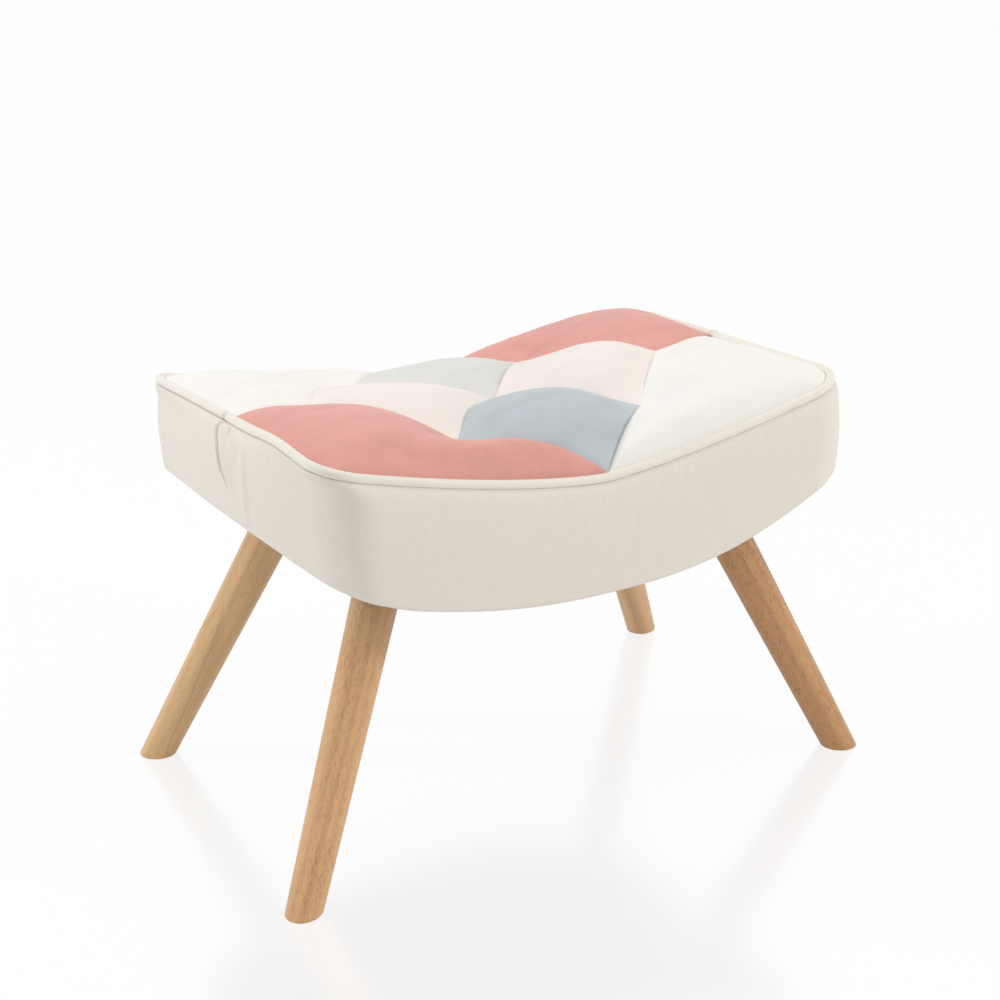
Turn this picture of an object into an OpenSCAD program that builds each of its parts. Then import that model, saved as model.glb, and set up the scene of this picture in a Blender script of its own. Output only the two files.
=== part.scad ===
// Footstool with a saddle seat, a tufted patchwork cover and four splayed legs.
// Millimetres, +Z up. The origin is on the floor under the middle of the seat, and +X runs along its length.

/* [Seat] */
// Length of the seat at the piping
seat_len = 560; // [500:5:620]
// Width of the seat at the piping
seat_wid = 374; // [350:2:410]
// Radius of the seat's corners in plan
corner_r = 44; // [36:1:52]
// Height of the piping seam at the middle of a long side
rim_mid_z = 345; // [335:1:365]
// How much higher the piping seam is at the two ends
rim_rise = 52.5; // [42:0.5:60]
// How late the piping seam turns up towards the ends
rim_power = 1.45; // [1.3:0.05:1.8]
// Height of the seat's lower edge at the middle of a long side
base_mid_z = 242; // [232:1:252]
// How much higher the lower edge is at the two ends
base_rise = 71; // [60:1:76]
// How late the lower edge turns up towards the ends
base_power = 2.35; // [2.1:0.05:2.6]

/* [Cover] */
// Thickness of the cover cloth with its backing
cover_t = 1.5; // [1:0.1:2]
// Diameter of the piping
piping_d = 8.5; // [7:0.5:11]
// How far the side band swells out past the piping
side_bulge = 11; // [10:0.5:13]
// How far the side band stands out past the piping at its lower edge
side_flare = 9; // [7:0.5:10]
// Width of the hem that turns under the frame
hem_w = 20; // [14:1:22]
// Height of the seams above the piping seam where they meet the piping
edge_h = 6; // [5:0.5:8]
// How much the seams rise from the piping to the middle of the seat
crown_h = 26; // [20:1:30]
// How far a seam lifts between two tufts
seam_lift = 9; // [5:0.5:12]
// Height of the puff of a diamond above its seams
diamond_puff = 11; // [8:0.5:16]
// Height of the puff of a corner panel above its edges
corner_puff = 12; // [9:0.5:18]

/* [Tufts] */
// Spacing of the tufts along the seat
tuft_dx = 97; // [85:1:105]
// Spacing of the tufts across the seat
tuft_dy = 105; // [90:1:112]
// Diameter of the twine that ties a tuft down
tie_d = 2; // [1.5:0.1:3]
// Diameter of the washer that holds a tie below the deck
washer_d = 18; // [14:1:24]
// Thickness of that washer
washer_t = 2; // [1.5:0.1:3]

/* [Padding] */
// Depth from the piping seam down to the deck board
foam_depth = 42; // [36:1:46]
// Thickness of the wadding at a tuft
pad_t = 8; // [7:0.5:10]

/* [Frame] */
// Thickness of the long rails and the end rails
rail_t = 18; // [15:1:22]
// Thickness of the deck board
deck_t = 5; // [3:0.5:6]
// Width of the cross rails that carry the legs
cross_w = 74; // [68:1:82]
// Thickness of the cross rails
cross_t = 22; // [18:1:26]
// Distance from the curve of the seat's lower edge up to a cross rail
cross_lift = 8; // [7:0.5:10]
// Length of a corner block along each rail
block_leg = 45; // [35:1:50]
// Diameter of a frame screw's shank
screw_d = 4; // [3:0.5:5]
// Diameter of a frame screw's head
screw_head_d = 8; // [7:0.5:9]
// Length of a frame screw
screw_len = 50; // [40:1:60]
// Length of a screw through a corner block
block_screw_len = 30; // [24:1:34]
// Thickness of the dust cover
dust_t = 0.8; // [0.5:0.1:1.2]
// Distance from the seat's lower edge to the edge of the dust cover
dust_inset = 10; // [6:1:12]
// Clearance of the dust cover round a leg
dust_leg_gap = 2.5; // [1:0.5:4]

/* [Legs] */
// Distance from the seat's end in to where a leg's centre line meets its cross rail
leg_in_x = 98.5; // [86:0.5:105]
// Distance from the seat's long side in to the same place
leg_in_y = 85; // [75:0.5:95]
// How far a foot's centre stands out from there along the seat
splay_x = 125.5; // [100:0.5:148]
// How far a foot's centre stands out from there across the seat
splay_y = 75.5; // [58:0.5:93]
// Diameter of a leg at the top
leg_top_d = 43.5; // [38:0.5:46]
// Diameter of a leg at the floor
leg_foot_d = 33; // [28:0.5:38]
// Side of the square leg plate
plate_w = 60; // [56:1:64]
// Thickness of the leg plate
plate_t = 2.5; // [2:0.5:4]
// Diameter of the angled boss on a leg plate
boss_d = 34; // [30:1:38]
// Length from the cross rail to a leg's top along the leg
boss_h = 11; // [10:0.5:14]
// Diameter of the hanger bolt
bolt_d = 8; // [6:1:10]
// Length of the hanger bolt inside the leg
bolt_in_leg = 34; // [25:1:45]
// Length of the hanger bolt above the leg's top
bolt_above = 24; // [18:1:26]
// Diameter of a plate screw's shank
plate_screw_d = 4; // [3:0.5:5]
// Diameter of a plate screw's head
plate_screw_head_d = 8; // [7:0.5:9]
// Height of a plate screw's head
plate_screw_head_h = 2.5; // [2:0.5:3]
// Length of a plate screw below its head
plate_screw_len = 16; // [12:1:17]

/* [Hidden] */

// Clearance beside cloth and padding, and beside cloth or padding with facets on a curve
gap = 0.3;
curve_gap = 0.8;
// Slack on the diameter of a fixed pin or screw in its hole
slack = 0.1;
// How far a cut runs past what it cuts
overrun = 5;
// Facets of round timber and steel, and of small holes in padding
$fn = 64;
padding_facets = 6;
// Steps round the piping, along the curve of a rail, and across the foam
piping_sides = 10;
rail_steps = 20;
foam_steps = 12;
// Steps along the half short side, the corner and the half long side of the cover's outline
short_steps = 2;
corner_steps = 6;
long_steps = 6;
// Steps of the cover's mesh along one seam between two tufts, and from a seam out to the piping
seam_steps = (short_steps + corner_steps + long_steps) / 2;
rim_steps = 5;
// How full the puffs are: lower is flatter on top and steeper at the seam
puff_power = 0.7;
// How the seams' rise fades out towards the ends and the long sides
crown_power_x = 4;
crown_power_y = 2.33;
// Depths down the side band, as shares of its height, and its swelling there, as shares of side_bulge
side_depth_shares = [0.07, 0.4, 0.75];
side_bulge_shares = [0.45, 1, 1];
// Places of the screws of a long rail across the cross rail, and of a corner block up its height
cross_screw_share = 0.25;
block_screw_shares = [0.33, 0.67];

half_len = seat_len / 2;
half_wid = seat_wid / 2;
piping_r = piping_d / 2;
// Plan offsets from the outline: the top panels' outer edge, the frame's outer faces, and the foam's top edge
panel_off = -(piping_d + gap);
frame_off = side_flare - cover_t - curve_gap;
foam_off = -(piping_r + gap);
frame_x = half_len + frame_off;
frame_y = half_wid + frame_off;
inner_y = frame_y - rail_t;
inner_x = frame_x - rail_t;
// Where a leg's centre line meets its cross rail, and the floor
leg_x = half_len - leg_in_x;
leg_y = half_wid - leg_in_y;
foot_x = leg_x + splay_x;
foot_y = leg_y + splay_y;
// Drop from the seams' level to the foam, and lift from the lower edge to the rails
foam_drop = cover_t + gap + pad_t + curve_gap;
hem_lift = cover_t + curve_gap;

// Heights of the piping seam, the lower edge, the deck's top and the seams' level
function rim_z(x) = rim_mid_z + rim_rise * pow(abs(x) / half_len, rim_power);
function base_z(x) = base_mid_z + base_rise * pow(abs(x) / half_len, base_power);
function deck_z(x) = rim_z(x) - foam_depth;
function fade(part, power) = 1 - pow(min(1, abs(part)), power);
function seam_z(x, y) =
    rim_z(x) + edge_h + crown_h * fade(x / half_len, crown_power_x) * fade(y / half_wid, crown_power_y);
function foam_z(x, y) = seam_z(x, y) - foam_drop;

// Slopes of the lower edge under the legs and of the deck, in degrees
base_slope = atan(base_rise * base_power / half_len * pow(leg_x / half_len, base_power - 1));
function deck_slope(x) =
    atan(sign(x) * rim_rise * rim_power / half_len * pow(abs(x) / half_len, rim_power - 1));

// Where a leg's centre line meets the underside of its cross rail, and the leg's lean
leg_z = base_z(leg_x) + cross_lift / cos(base_slope);
leg_run = norm([foot_x - leg_x, foot_y - leg_y]);
leg_reach = norm([leg_run, leg_z]);
leg_lean = atan2(leg_run, leg_z);
leg_turn = atan2(foot_y - leg_y, foot_x - leg_x);
leg_len = leg_reach - boss_h;

// Tufts, and the two seam ends that reach the piping
tuft_mid = [0, 0];
tuft_side = [-2 * tuft_dx, 0];
tuft_near = [-tuft_dx, -tuft_dy];
tuft_far = [-tuft_dx, tuft_dy];
tuft_near_right = [tuft_dx, -tuft_dy];
seam_end_near = [0, -(half_wid + panel_off)];
seam_end_left = [-(half_len + panel_off), 0];
TUFTS = [
    tuft_mid, tuft_side, -tuft_side, tuft_near, -tuft_near, tuft_far, -tuft_far
];

// Geometry of the cover

function on_seams(p) = [p.x, p.y, seam_z(p.x, p.y)];
function lowered(grid, drop) = [for (row = grid) [for (p = row) [p.x, p.y, p.z - drop]]];
function on_foam(grid) = [for (row = grid) [for (p = row) [p.x, p.y, foam_z(p.x, p.y) + curve_gap]]];
function joined(a, b) = concat(a, [for (i = [1:len(b) - 1]) b[i]]);

// A seam between two plan points, lifted in its middle
function seam(a, b, steps) = [
    for (i = [0:steps])
        let (t = i / steps, p = a + (b - a) * t)
        [p.x, p.y, (1 - t) * on_seams(a).z + t * on_seams(b).z + seam_lift * 4 * t * (1 - t)]
];

// A quarter of the seat's outline, moved out by off, from the left side's middle to the near side's middle
function outline_quarter(off) = concat(
    [for (i = [0:short_steps - 1]) [-(half_len + off), -(half_wid - corner_r) * i / short_steps]],
    [
        for (i = [0:corner_steps])
            let (a = 90 * i / corner_steps, r = corner_r + off)
            [-(half_len - corner_r + r * cos(a)), -(half_wid - corner_r + r * sin(a))]
    ],
    [for (i = [1:long_steps]) [-(half_len - corner_r) * (1 - i / long_steps), -(half_wid + off)]]
);
// The near half of the outline, from the left side's middle to the right side's middle
function outline_half(off) =
    let (q = outline_quarter(off), n = len(q))
    concat(q, [for (i = [n - 2:-1:0]) [-q[i].x, q[i].y]]);

// A surface stretched between four edges, where v0 and v1 run along u, and u0 and u1 run along v
function stretched(v0, v1, u0, u1) =
    let (n = len(v0) - 1, m = len(u0) - 1)
    [
        for (i = [0:n]) [
            for (j = [0:m])
                let (u = i / n, v = j / m)
                (1 - v) * v0[i] + v * v1[i] + (1 - u) * u0[j] + u * u1[j]
                - (1 - u) * (1 - v) * v0[0] - u * (1 - v) * v0[n] - (1 - u) * v * v1[0] - u * v * v1[n]
        ]
    ];
// The same surface swollen by a puff that is nothing at its edges
function puffed(grid, height) =
    let (n = len(grid) - 1, m = len(grid[0]) - 1)
    [
        for (i = [0:n]) [
            for (j = [0:m])
                let (u = i / n, v = j / m)
                grid[i][j] + [0, 0, height * pow(16 * u * (1 - u) * v * (1 - v), puff_power)]
        ]
    ];

function left_diamond() = puffed(stretched(
    seam(tuft_side, tuft_far, seam_steps), seam(tuft_near, tuft_mid, seam_steps),
    seam(tuft_side, tuft_near, seam_steps), seam(tuft_far, tuft_mid, seam_steps)
), diamond_puff);
function near_diamond() = puffed(stretched(
    seam(tuft_near, tuft_mid, seam_steps), seam(seam_end_near, tuft_near_right, seam_steps),
    seam(tuft_near, seam_end_near, seam_steps), seam(tuft_mid, tuft_near_right, seam_steps)
), diamond_puff);
function near_left_corner() =
    let (
        chain = joined(seam(tuft_side, tuft_near, seam_steps), seam(tuft_near, seam_end_near, seam_steps)),
        edge = [for (p = outline_quarter(panel_off)) on_seams(p)],
        tip = on_seams(seam_end_near)
    )
    puffed(
        stretched(chain, edge, seam(tuft_side, seam_end_left, rim_steps), [for (j = [0:rim_steps]) tip]),
        corner_puff
    );

// Two triangles for a patch of four points, and all of them over a grid where at(i, j) is a point's number
function two_faces(a, b, c, d) = [[a, b, c], [a, c, d]];
function grid_faces(n, m, at) = [
    for (i = [0:n - 1], j = [0:m - 1], f = two_faces(at(i, j), at(i + 1, j), at(i + 1, j + 1), at(i, j + 1)))
        f
];
function turned_over(faces, shift = 0) = [for (f = faces) [f[0] + shift, f[2] + shift, f[1] + shift]];

// A closed solid between two grids that match point for point; a pointed one ends in a single point of each
module slab(upper, lower, pointed = false) {
    n = len(upper) - 1;
    m = len(upper[0]) - 1;
    row = m + 1;
    last = pointed ? n * row : (n + 1) * row - 1;
    half = last + 1;
    at = function(i, j) min(last, i * row + j);
    rim = concat(
        [for (i = [0:n]) at(i, 0)],
        pointed ? [] : [for (j = [1:m]) at(n, j)],
        [for (i = [n - 1:-1:0]) at(i, m)],
        [for (j = [m - 1:-1:1]) at(0, j)]
    );
    tip = pointed ? [for (j = [0:m - 1]) [at(n - 1, j), last, at(n - 1, j + 1)]] : [];
    top = concat(grid_faces(pointed ? n - 1 : n, m, at), tip);
    wall = [
        for (k = [0:len(rim) - 1])
            let (a = rim[k], b = rim[(k + 1) % len(rim)])
            for (f = two_faces(b, a, a + half, b + half)) f
    ];
    polyhedron(
        [for (grid = [upper, lower], k = [0:last]) grid[floor(k / row)][k % row]],
        concat(top, turned_over(top, half), wall),
        convexity = 6
    );
}

// A solid run through closed sections, each a loop of points, with a flat cap at each end
module swept(sections) {
    n = len(sections) - 1;
    m = len(sections[0]);
    at = function(i, j) i * m + j % m;
    caps = [[for (j = [m - 1:-1:0]) at(0, j)], [for (j = [0:m - 1]) at(n, j)]];
    polyhedron(
        [for (section = sections, p = section) p],
        concat(turned_over(grid_faces(n, m, at)), caps),
        convexity = 6
    );
}

// Put a piece drawn at the far right, or a piece of the cover drawn at the near left, in the quarter of the
// seat that the two signs name
module flipped(in_x, in_y) mirror([in_x ? 1 : 0, 0, 0]) mirror([0, in_y ? 1 : 0, 0]) children();
module quarter(side_x, side_y) flipped(side_x < 0, side_y < 0) children();
module cover_quarter(side_x, side_y) flipped(side_x > 0, side_y > 0) children();

// Puts a piece drawn on the leg's centre line, with z from the floor up, in its place
module on_leg() translate([foot_x, foot_y, 0]) rotate([0, -leg_lean, leg_turn]) children();

// Puts a piece drawn on the cross rail's underside in its place
module on_cross_rail() translate([leg_x, 0, leg_z]) rotate([0, -base_slope, 0]) children();

// The seat's rounded outline in plan, moved out by off
module plan(off) {
    square([2 * (half_len + off), 2 * (half_wid - corner_r)], center = true);
    square([2 * (half_len - corner_r), 2 * (half_wid + off)], center = true);
    for (sx = [-1, 1], sy = [-1, 1])
        translate([sx * (half_len - corner_r), sy * (half_wid - corner_r)]) circle(corner_r + off);
}
module plan_block(off) linear_extrude(rim_mid_z + rim_rise) plan(off);

// A profile drawn in x and z, run across the seat from y0 to y1
module across(profile, y0, y1)
    translate([0, y1, 0]) rotate([90, 0, 0]) linear_extrude(y1 - y0) polygon(profile);

// Legs and their fixings

module leg(side_x, side_y) color([0.80, 0.64, 0.46]) quarter(side_x, side_y) {
    taper = (leg_top_d - leg_foot_d) / leg_len / 2;
    tail = leg_foot_d;
    difference() {
        on_leg() translate([0, 0, -tail])
            cylinder(h = leg_len + tail, r1 = leg_foot_d / 2 - taper * tail, r2 = leg_top_d / 2);
        translate([foot_x, foot_y, -tail]) cube([4 * tail, 4 * tail, 2 * tail], center = true);
        on_leg() translate([0, 0, leg_len - bolt_in_leg])
            cylinder(h = bolt_in_leg + overrun, d = bolt_d + slack);
    }
}

module hanger_bolts() color([0.72, 0.72, 0.74]) for (sx = [-1, 1], sy = [-1, 1]) quarter(sx, sy)
    on_leg() translate([0, 0, leg_len - bolt_in_leg]) cylinder(h = bolt_in_leg + bolt_above, d = bolt_d);

// Places of a plate's screws, on the underside of a cross rail
plate_screw_at = (plate_w - plate_screw_head_d) / 2 - plate_t;
module at_plate_screws() for (sx = [-1, 1], sy = [-1, 1])
    on_cross_rail() translate([sx * plate_screw_at, leg_y + sy * plate_screw_at, 0]) children();

module plate_block(depth) on_cross_rail()
    translate([-plate_w / 2, leg_y - plate_w / 2, -depth]) cube([plate_w, plate_w, depth]);
module leg_plate(side_x, side_y) color([0.60, 0.60, 0.62]) quarter(side_x, side_y) difference() {
    union() {
        plate_block(plate_t);
        intersection() {
            on_leg() translate([0, 0, leg_len]) cylinder(h = 2 * boss_h, d = boss_d);
            plate_block(plate_w);
        }
    }
    on_leg() translate([0, 0, leg_len - overrun]) cylinder(h = 2 * boss_h + 2 * overrun, d = bolt_d + slack);
    at_plate_screws() translate([0, 0, -overrun]) cylinder(h = 2 * overrun, d = plate_screw_d + slack);
}

module plate_screw() translate([0, 0, -plate_t]) {
    translate([0, 0, -plate_screw_head_h]) cylinder(h = plate_screw_head_h, d = plate_screw_head_d);
    translate([0, 0, -plate_screw_head_h / 2])
        cylinder(h = plate_screw_len + plate_screw_head_h / 2, d = plate_screw_d);
}
module plate_screws() color([0.75, 0.75, 0.77])
    for (sx = [-1, 1], sy = [-1, 1]) quarter(sx, sy) at_plate_screws() plate_screw();

// Timber frame

rail_stations = [for (k = [-rail_steps:rail_steps]) frame_x * k / rail_steps];
function deck_line(lift) = [for (x = rail_stations) [x, deck_z(x) + lift]];
function base_line(lift) = [for (x = rail_stations) [x, base_z(x) + lift]];
function backwards(line) = [for (k = [len(line) - 1:-1:0]) line[k]];
rail_profile = concat(deck_line(-deck_t), backwards(base_line(hem_lift)));

// A countersunk screw drawn head first along z, and the hole that it leaves in what it joins
screw_cone = (screw_head_d - screw_d) / 2;
module screw(length) {
    cylinder(h = screw_cone, d1 = screw_head_d, d2 = screw_d);
    cylinder(h = length, d = screw_d);
}
module screw_hole(length, sunk) {
    translate([0, 0, -sunk]) cylinder(h = sunk, d = screw_head_d + slack);
    cylinder(h = screw_cone, d1 = screw_head_d + slack, d2 = screw_d + slack);
    cylinder(h = length + slack, d = screw_d + slack);
}

// Places of the screws at the far right: through the long rail's outer face into the end of the cross rail
module at_rail_screws() for (s = [-1, 1])
    translate([0, frame_y, 0]) on_cross_rail()
        translate([s * cross_w * cross_screw_share, 0, cross_t / 2]) rotate([90, 0, 0]) children();
// and through the corner block's slanted face into the long rail and the end rail
block_low = base_z(inner_x) + hem_lift;
block_h = deck_z(inner_x - block_leg) - deck_t - block_low;
block_screw_back = (block_leg - screw_head_d) / 2;
module at_block_screws() translate([inner_x, inner_y, 0]) {
    translate([-block_leg / 2, -block_screw_back, block_low + block_h * block_screw_shares[0]])
        rotate([-90, 0, 0]) children();
    translate([-block_screw_back, -block_leg / 2, block_low + block_h * block_screw_shares[1]])
        rotate([0, 90, 0]) children();
}
module screw_holes() for (sx = [-1, 1], sy = [-1, 1]) quarter(sx, sy) {
    at_rail_screws() screw_hole(screw_len, overrun);
    at_block_screws() screw_hole(block_screw_len, block_leg / 2);
}
module frame_screws() color([0.78, 0.72, 0.45]) for (sx = [-1, 1], sy = [-1, 1]) quarter(sx, sy) {
    at_rail_screws() screw(screw_len);
    at_block_screws() screw(block_screw_len);
}

module long_rail(side_y) color([0.86, 0.76, 0.58]) quarter(1, side_y) difference() {
    intersection() {
        across(rail_profile, inner_y, frame_y);
        plan_block(frame_off);
    }
    screw_holes();
}

module end_rail(side_x) color([0.86, 0.76, 0.58]) quarter(side_x, 1) difference() {
    intersection() {
        across(rail_profile, -inner_y, inner_y);
        plan_block(frame_off);
        translate([inner_x, -inner_y, 0]) cube([2 * rail_t, 2 * inner_y, rim_mid_z + rim_rise]);
    }
    screw_holes();
}

module cross_rail(side_x) color([0.83, 0.72, 0.54]) quarter(side_x, 1) difference() {
    on_cross_rail() translate([-cross_w / 2, -inner_y, 0]) cube([cross_w, 2 * inner_y, cross_t]);
    for (sy = [-1, 1]) quarter(1, sy) {
        on_leg() translate([0, 0, leg_len]) cylinder(h = bolt_above + 4 * overrun, d = bolt_d + 2 * slack);
        at_plate_screws() translate([0, 0, -overrun])
            cylinder(h = plate_screw_len + overrun - plate_t + slack, d = plate_screw_d + slack);
    }
    screw_holes();
}

module corner_block(side_x, side_y) color([0.80, 0.70, 0.52]) difference() {
    quarter(side_x, side_y) translate([inner_x, inner_y, block_low]) linear_extrude(block_h)
        polygon([[0, 0], [-block_leg, 0], [0, -block_leg]]);
    screw_holes();
}

module deck_board() color([0.82, 0.70, 0.50]) difference() {
    intersection() {
        across(concat(deck_line(0), backwards(deck_line(-deck_t))), -frame_y, frame_y);
        plan_block(frame_off);
    }
    for (t = TUFTS) translate([t.x, t.y, deck_z(t.x) - deck_t - overrun])
        cylinder(h = deck_t + 2 * overrun, d = tie_d + 2 * gap);
}

module dust_cover() color([0.16, 0.16, 0.17]) difference() {
    intersection() {
        across(concat(base_line(-gap), backwards(base_line(-gap - dust_t))), -frame_y, frame_y);
        plan_block(side_flare - dust_inset);
    }
    for (sx = [-1, 1], sy = [-1, 1]) quarter(sx, sy)
        on_leg() translate([0, 0, leg_len - leg_top_d])
            cylinder(h = 2 * leg_top_d, d = leg_top_d + 2 * dust_leg_gap);
}

// Padding and ties

// Places across the foam: where the outline stands at each station along the seat, moved out by off
function outline_stations(off) = concat(
    [
        for (i = [0:corner_steps]) let (a = 90 * i / corner_steps)
        [-(half_len - corner_r) - (corner_r + off) * cos(a), half_wid - corner_r + (corner_r + off) * sin(a)]
    ],
    [for (i = [1:2 * long_steps - 1]) [(half_len - corner_r) * (i / long_steps - 1), half_wid + off]],
    [
        for (i = [corner_steps:-1:0]) let (a = 90 * i / corner_steps)
        [half_len - corner_r + (corner_r + off) * cos(a), half_wid - corner_r + (corner_r + off) * sin(a)]
    ]
);
function across_outline(off) = [
    for (s = outline_stations(off)) [for (j = [0:foam_steps]) [s.x, s.y * cos(180 * j / foam_steps)]]
];

module tie_holes() for (t = TUFTS) translate([t.x, t.y, deck_z(t.x) - overrun])
    cylinder(h = foam_depth + crown_h + seam_lift + diamond_puff, d = tie_d + 2 * gap, $fn = padding_facets);

module foam_core() color([0.95, 0.90, 0.70]) difference() {
    slab(
        [for (row = across_outline(foam_off)) [for (p = row) [p.x, p.y, foam_z(p.x, p.y)]]],
        [for (row = across_outline(frame_off)) [for (p = row) [p.x, p.y, deck_z(p.x) + gap]]]
    );
    tie_holes();
}

// Wadding behind one patch of the cover
module pad(grid, pointed = false) slab(lowered(grid, cover_t + gap), on_foam(grid), pointed);
module wadding() color([0.97, 0.97, 0.95]) difference() {
    union() {
        for (s = [-1, 1]) cover_quarter(s, 0) pad(left_diamond());
        for (s = [-1, 1]) cover_quarter(0, s) pad(near_diamond());
        for (sx = [-1, 1], sy = [-1, 1]) cover_quarter(sx, sy) pad(near_left_corner(), true);
    }
    tie_holes();
}

module tuft_ties() color([0.85, 0.82, 0.75]) for (t = TUFTS) {
    low = deck_z(t.x) - deck_t - 2 * washer_t;
    translate([t.x, t.y, low]) cylinder(h = seam_z(t.x, t.y) - cover_t - gap - low, d = tie_d);
}

module tie_washers() color([0.30, 0.30, 0.30]) for (t = TUFTS)
    translate([t.x, t.y, deck_z(t.x) - deck_t]) rotate([0, -deck_slope(t.x), 0]) difference() {
        translate([0, 0, -washer_t]) cylinder(h = washer_t, d = washer_d);
        rotate([0, deck_slope(t.x), 0]) cylinder(h = washer_d, d = tie_d + 2 * gap, center = true);
    }

// Cover

// The side band down one line of its section: offset from the outline, and depth as a share of its height
band_offs = concat([-piping_r], [for (s = side_bulge_shares) side_bulge * s], [side_flare]);
band_depth_shares = concat([0], side_depth_shares, [1]);
function band_line(k, off, deep, lift) =
    let (p = outline_half(off)[k], top = rim_z(outline_half(0)[k].x) - gap)
    [p.x, p.y, (1 - deep) * top + deep * base_z(p.x) + lift];
// Its section at step k: down the inside, along the hem under the frame and back up the outside
function band_inside(k, i) =
    band_line(k, band_offs[i] - cover_t, band_depth_shares[i], i == 1 ? -cover_t : 0);
function band_section(k) =
    let (last = len(band_offs) - 1)
    concat(
        [band_line(k, -piping_r, 0, -cover_t)],
        [for (i = [1:last - 1]) band_inside(k, i)],
        [band_line(k, side_flare - cover_t, 1, cover_t)],
        [for (lift = [cover_t, 0]) band_line(k, side_flare - hem_w, 1, lift)],
        [for (i = [last:-1:0]) band_line(k, band_offs[i], band_depth_shares[i], 0)]
    );
module boxing(side_y) color([0.87, 0.85, 0.82]) cover_quarter(0, side_y)
    swept([for (k = [0:len(outline_half(0)) - 1]) band_section(k)]);

// The piping's centre line, and a ring about it square to the line at step k
piping_path = [
    for (k = [0:len(outline_half(0)) - 1])
        let (p = outline_half(-piping_r)[k])
        [p.x, p.y, rim_z(outline_half(0)[k].x) + piping_r]
];
function piping_ring(k) =
    let (
        last = len(piping_path) - 1,
        edge = outline_half(0)[k],
        out = [edge.x - piping_path[k].x, edge.y - piping_path[k].y, 0] / piping_r,
        ahead = k == 0 || k == last ? [0, k == 0 ? -1 : 1, 0] : piping_path[k + 1] - piping_path[k - 1],
        up = cross(ahead, out) / norm(cross(ahead, out))
    )
    [
        for (j = [0:piping_sides - 1])
            let (a = 360 * j / piping_sides)
            piping_path[k] + piping_r * (cos(a) * out - sin(a) * up)
    ];
module piping(side_y) color([0.90, 0.88, 0.85]) cover_quarter(0, side_y)
    swept([for (k = [0:len(piping_path) - 1]) piping_ring(k)]);

// The patches of the top, and their shades
module patch(grid, pointed = false) slab(grid, lowered(grid, cover_t), pointed);
module corner_panel(side_x, side_y, shade)
    color(shade) cover_quarter(side_x, side_y) patch(near_left_corner(), true);
module side_diamond(side_x, shade) color(shade) cover_quarter(side_x, 0) patch(left_diamond());
module end_diamond(side_y, shade) color(shade) cover_quarter(0, side_y) patch(near_diamond());
pink = [0.88, 0.60, 0.56];
off_white = [0.97, 0.96, 0.94];
blush = [0.95, 0.91, 0.89];
slate = [0.71, 0.76, 0.79];
pale_grey = [0.86, 0.87, 0.86];

leg(-1, -1);  // leg_near_left
leg(1, -1);  // leg_near_right
leg(-1, 1);  // leg_far_left
leg(1, 1);  // leg_far_right
leg_plate(-1, -1);  // plate_near_left
leg_plate(1, -1);  // plate_near_right
leg_plate(-1, 1);  // plate_far_left
leg_plate(1, 1);  // plate_far_right
hanger_bolts();
plate_screws();
long_rail(-1);  // rail_near
long_rail(1);  // rail_far
end_rail(-1);  // end_rail_left
end_rail(1);  // end_rail_right
cross_rail(-1);  // cross_rail_left
cross_rail(1);  // cross_rail_right
corner_block(-1, -1);  // block_near_left
corner_block(1, -1);  // block_near_right
corner_block(-1, 1);  // block_far_left
corner_block(1, 1);  // block_far_right
frame_screws();
deck_board();
dust_cover();
foam_core();
wadding();
tuft_ties();
tie_washers();
boxing(-1);  // boxing_near
boxing(1);  // boxing_far
piping(-1);  // piping_near
piping(1);  // piping_far
corner_panel(-1, -1, pink);  // panel_near_left
corner_panel(1, -1, off_white);  // panel_near_right
corner_panel(-1, 1, off_white);  // panel_far_left
corner_panel(1, 1, pink);  // panel_far_right
side_diamond(-1, blush);  // diamond_left
side_diamond(1, blush);  // diamond_right
end_diamond(-1, slate);  // diamond_near
end_diamond(1, pale_grey);  // diamond_far
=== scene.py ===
"""The looks of a footstool with a tufted patchwork seat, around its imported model. Lengths are in metres."""

import math

import bmesh
import bpy
import numpy as np
from mathutils import Matrix, Vector, noise


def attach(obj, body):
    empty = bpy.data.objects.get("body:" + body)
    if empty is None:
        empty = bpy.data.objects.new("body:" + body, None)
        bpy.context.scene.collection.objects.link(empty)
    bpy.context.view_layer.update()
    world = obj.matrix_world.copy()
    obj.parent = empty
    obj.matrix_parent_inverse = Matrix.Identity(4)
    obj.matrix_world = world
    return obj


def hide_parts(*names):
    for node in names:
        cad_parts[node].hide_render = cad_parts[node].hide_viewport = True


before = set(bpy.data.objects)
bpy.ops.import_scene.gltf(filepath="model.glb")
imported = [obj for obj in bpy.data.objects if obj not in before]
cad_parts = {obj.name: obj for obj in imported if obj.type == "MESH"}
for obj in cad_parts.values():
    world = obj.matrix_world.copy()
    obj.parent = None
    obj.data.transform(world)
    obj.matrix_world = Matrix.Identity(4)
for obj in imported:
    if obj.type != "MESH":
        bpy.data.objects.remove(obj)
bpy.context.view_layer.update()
MM = 0.001

# Seat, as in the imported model
HALF_LEN, HALF_WID = 0.280, 0.187
RIM_MID_Z, RIM_RISE, RIM_POWER = 0.345, 0.0525, 1.45
BASE_MID_Z, BASE_RISE, BASE_POWER = 0.242, 0.071, 2.35
EDGE_H, CROWN_H, CROWN_POWER_X, CROWN_POWER_Y = 0.006, 0.026, 4, 2.33
FOAM_DEPTH = 0.042
PIPING_R = 0.00425
SIDE_FLARE, HEM_W = 0.009, 0.020
CLOTH_T = 0.0014

# Corner radii as they were upholstered, at the piping and at the lower edge: near left, near right, far right
# and far left
RIM_RADII = (0.036, 0.042, 0.060, 0.040)
LOW_RADII = (0.034, 0.044, 0.044, 0.034)

# Legs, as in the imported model
FOOT = Vector((0.307, 0.1775, 0.0))
LEG_TOP = Vector((0.1815, 0.102, 0.2761))
LEG_TOP_D, LEG_FOOT_D, LEG_SHORT = 0.0435, 0.033, 0.011


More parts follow.
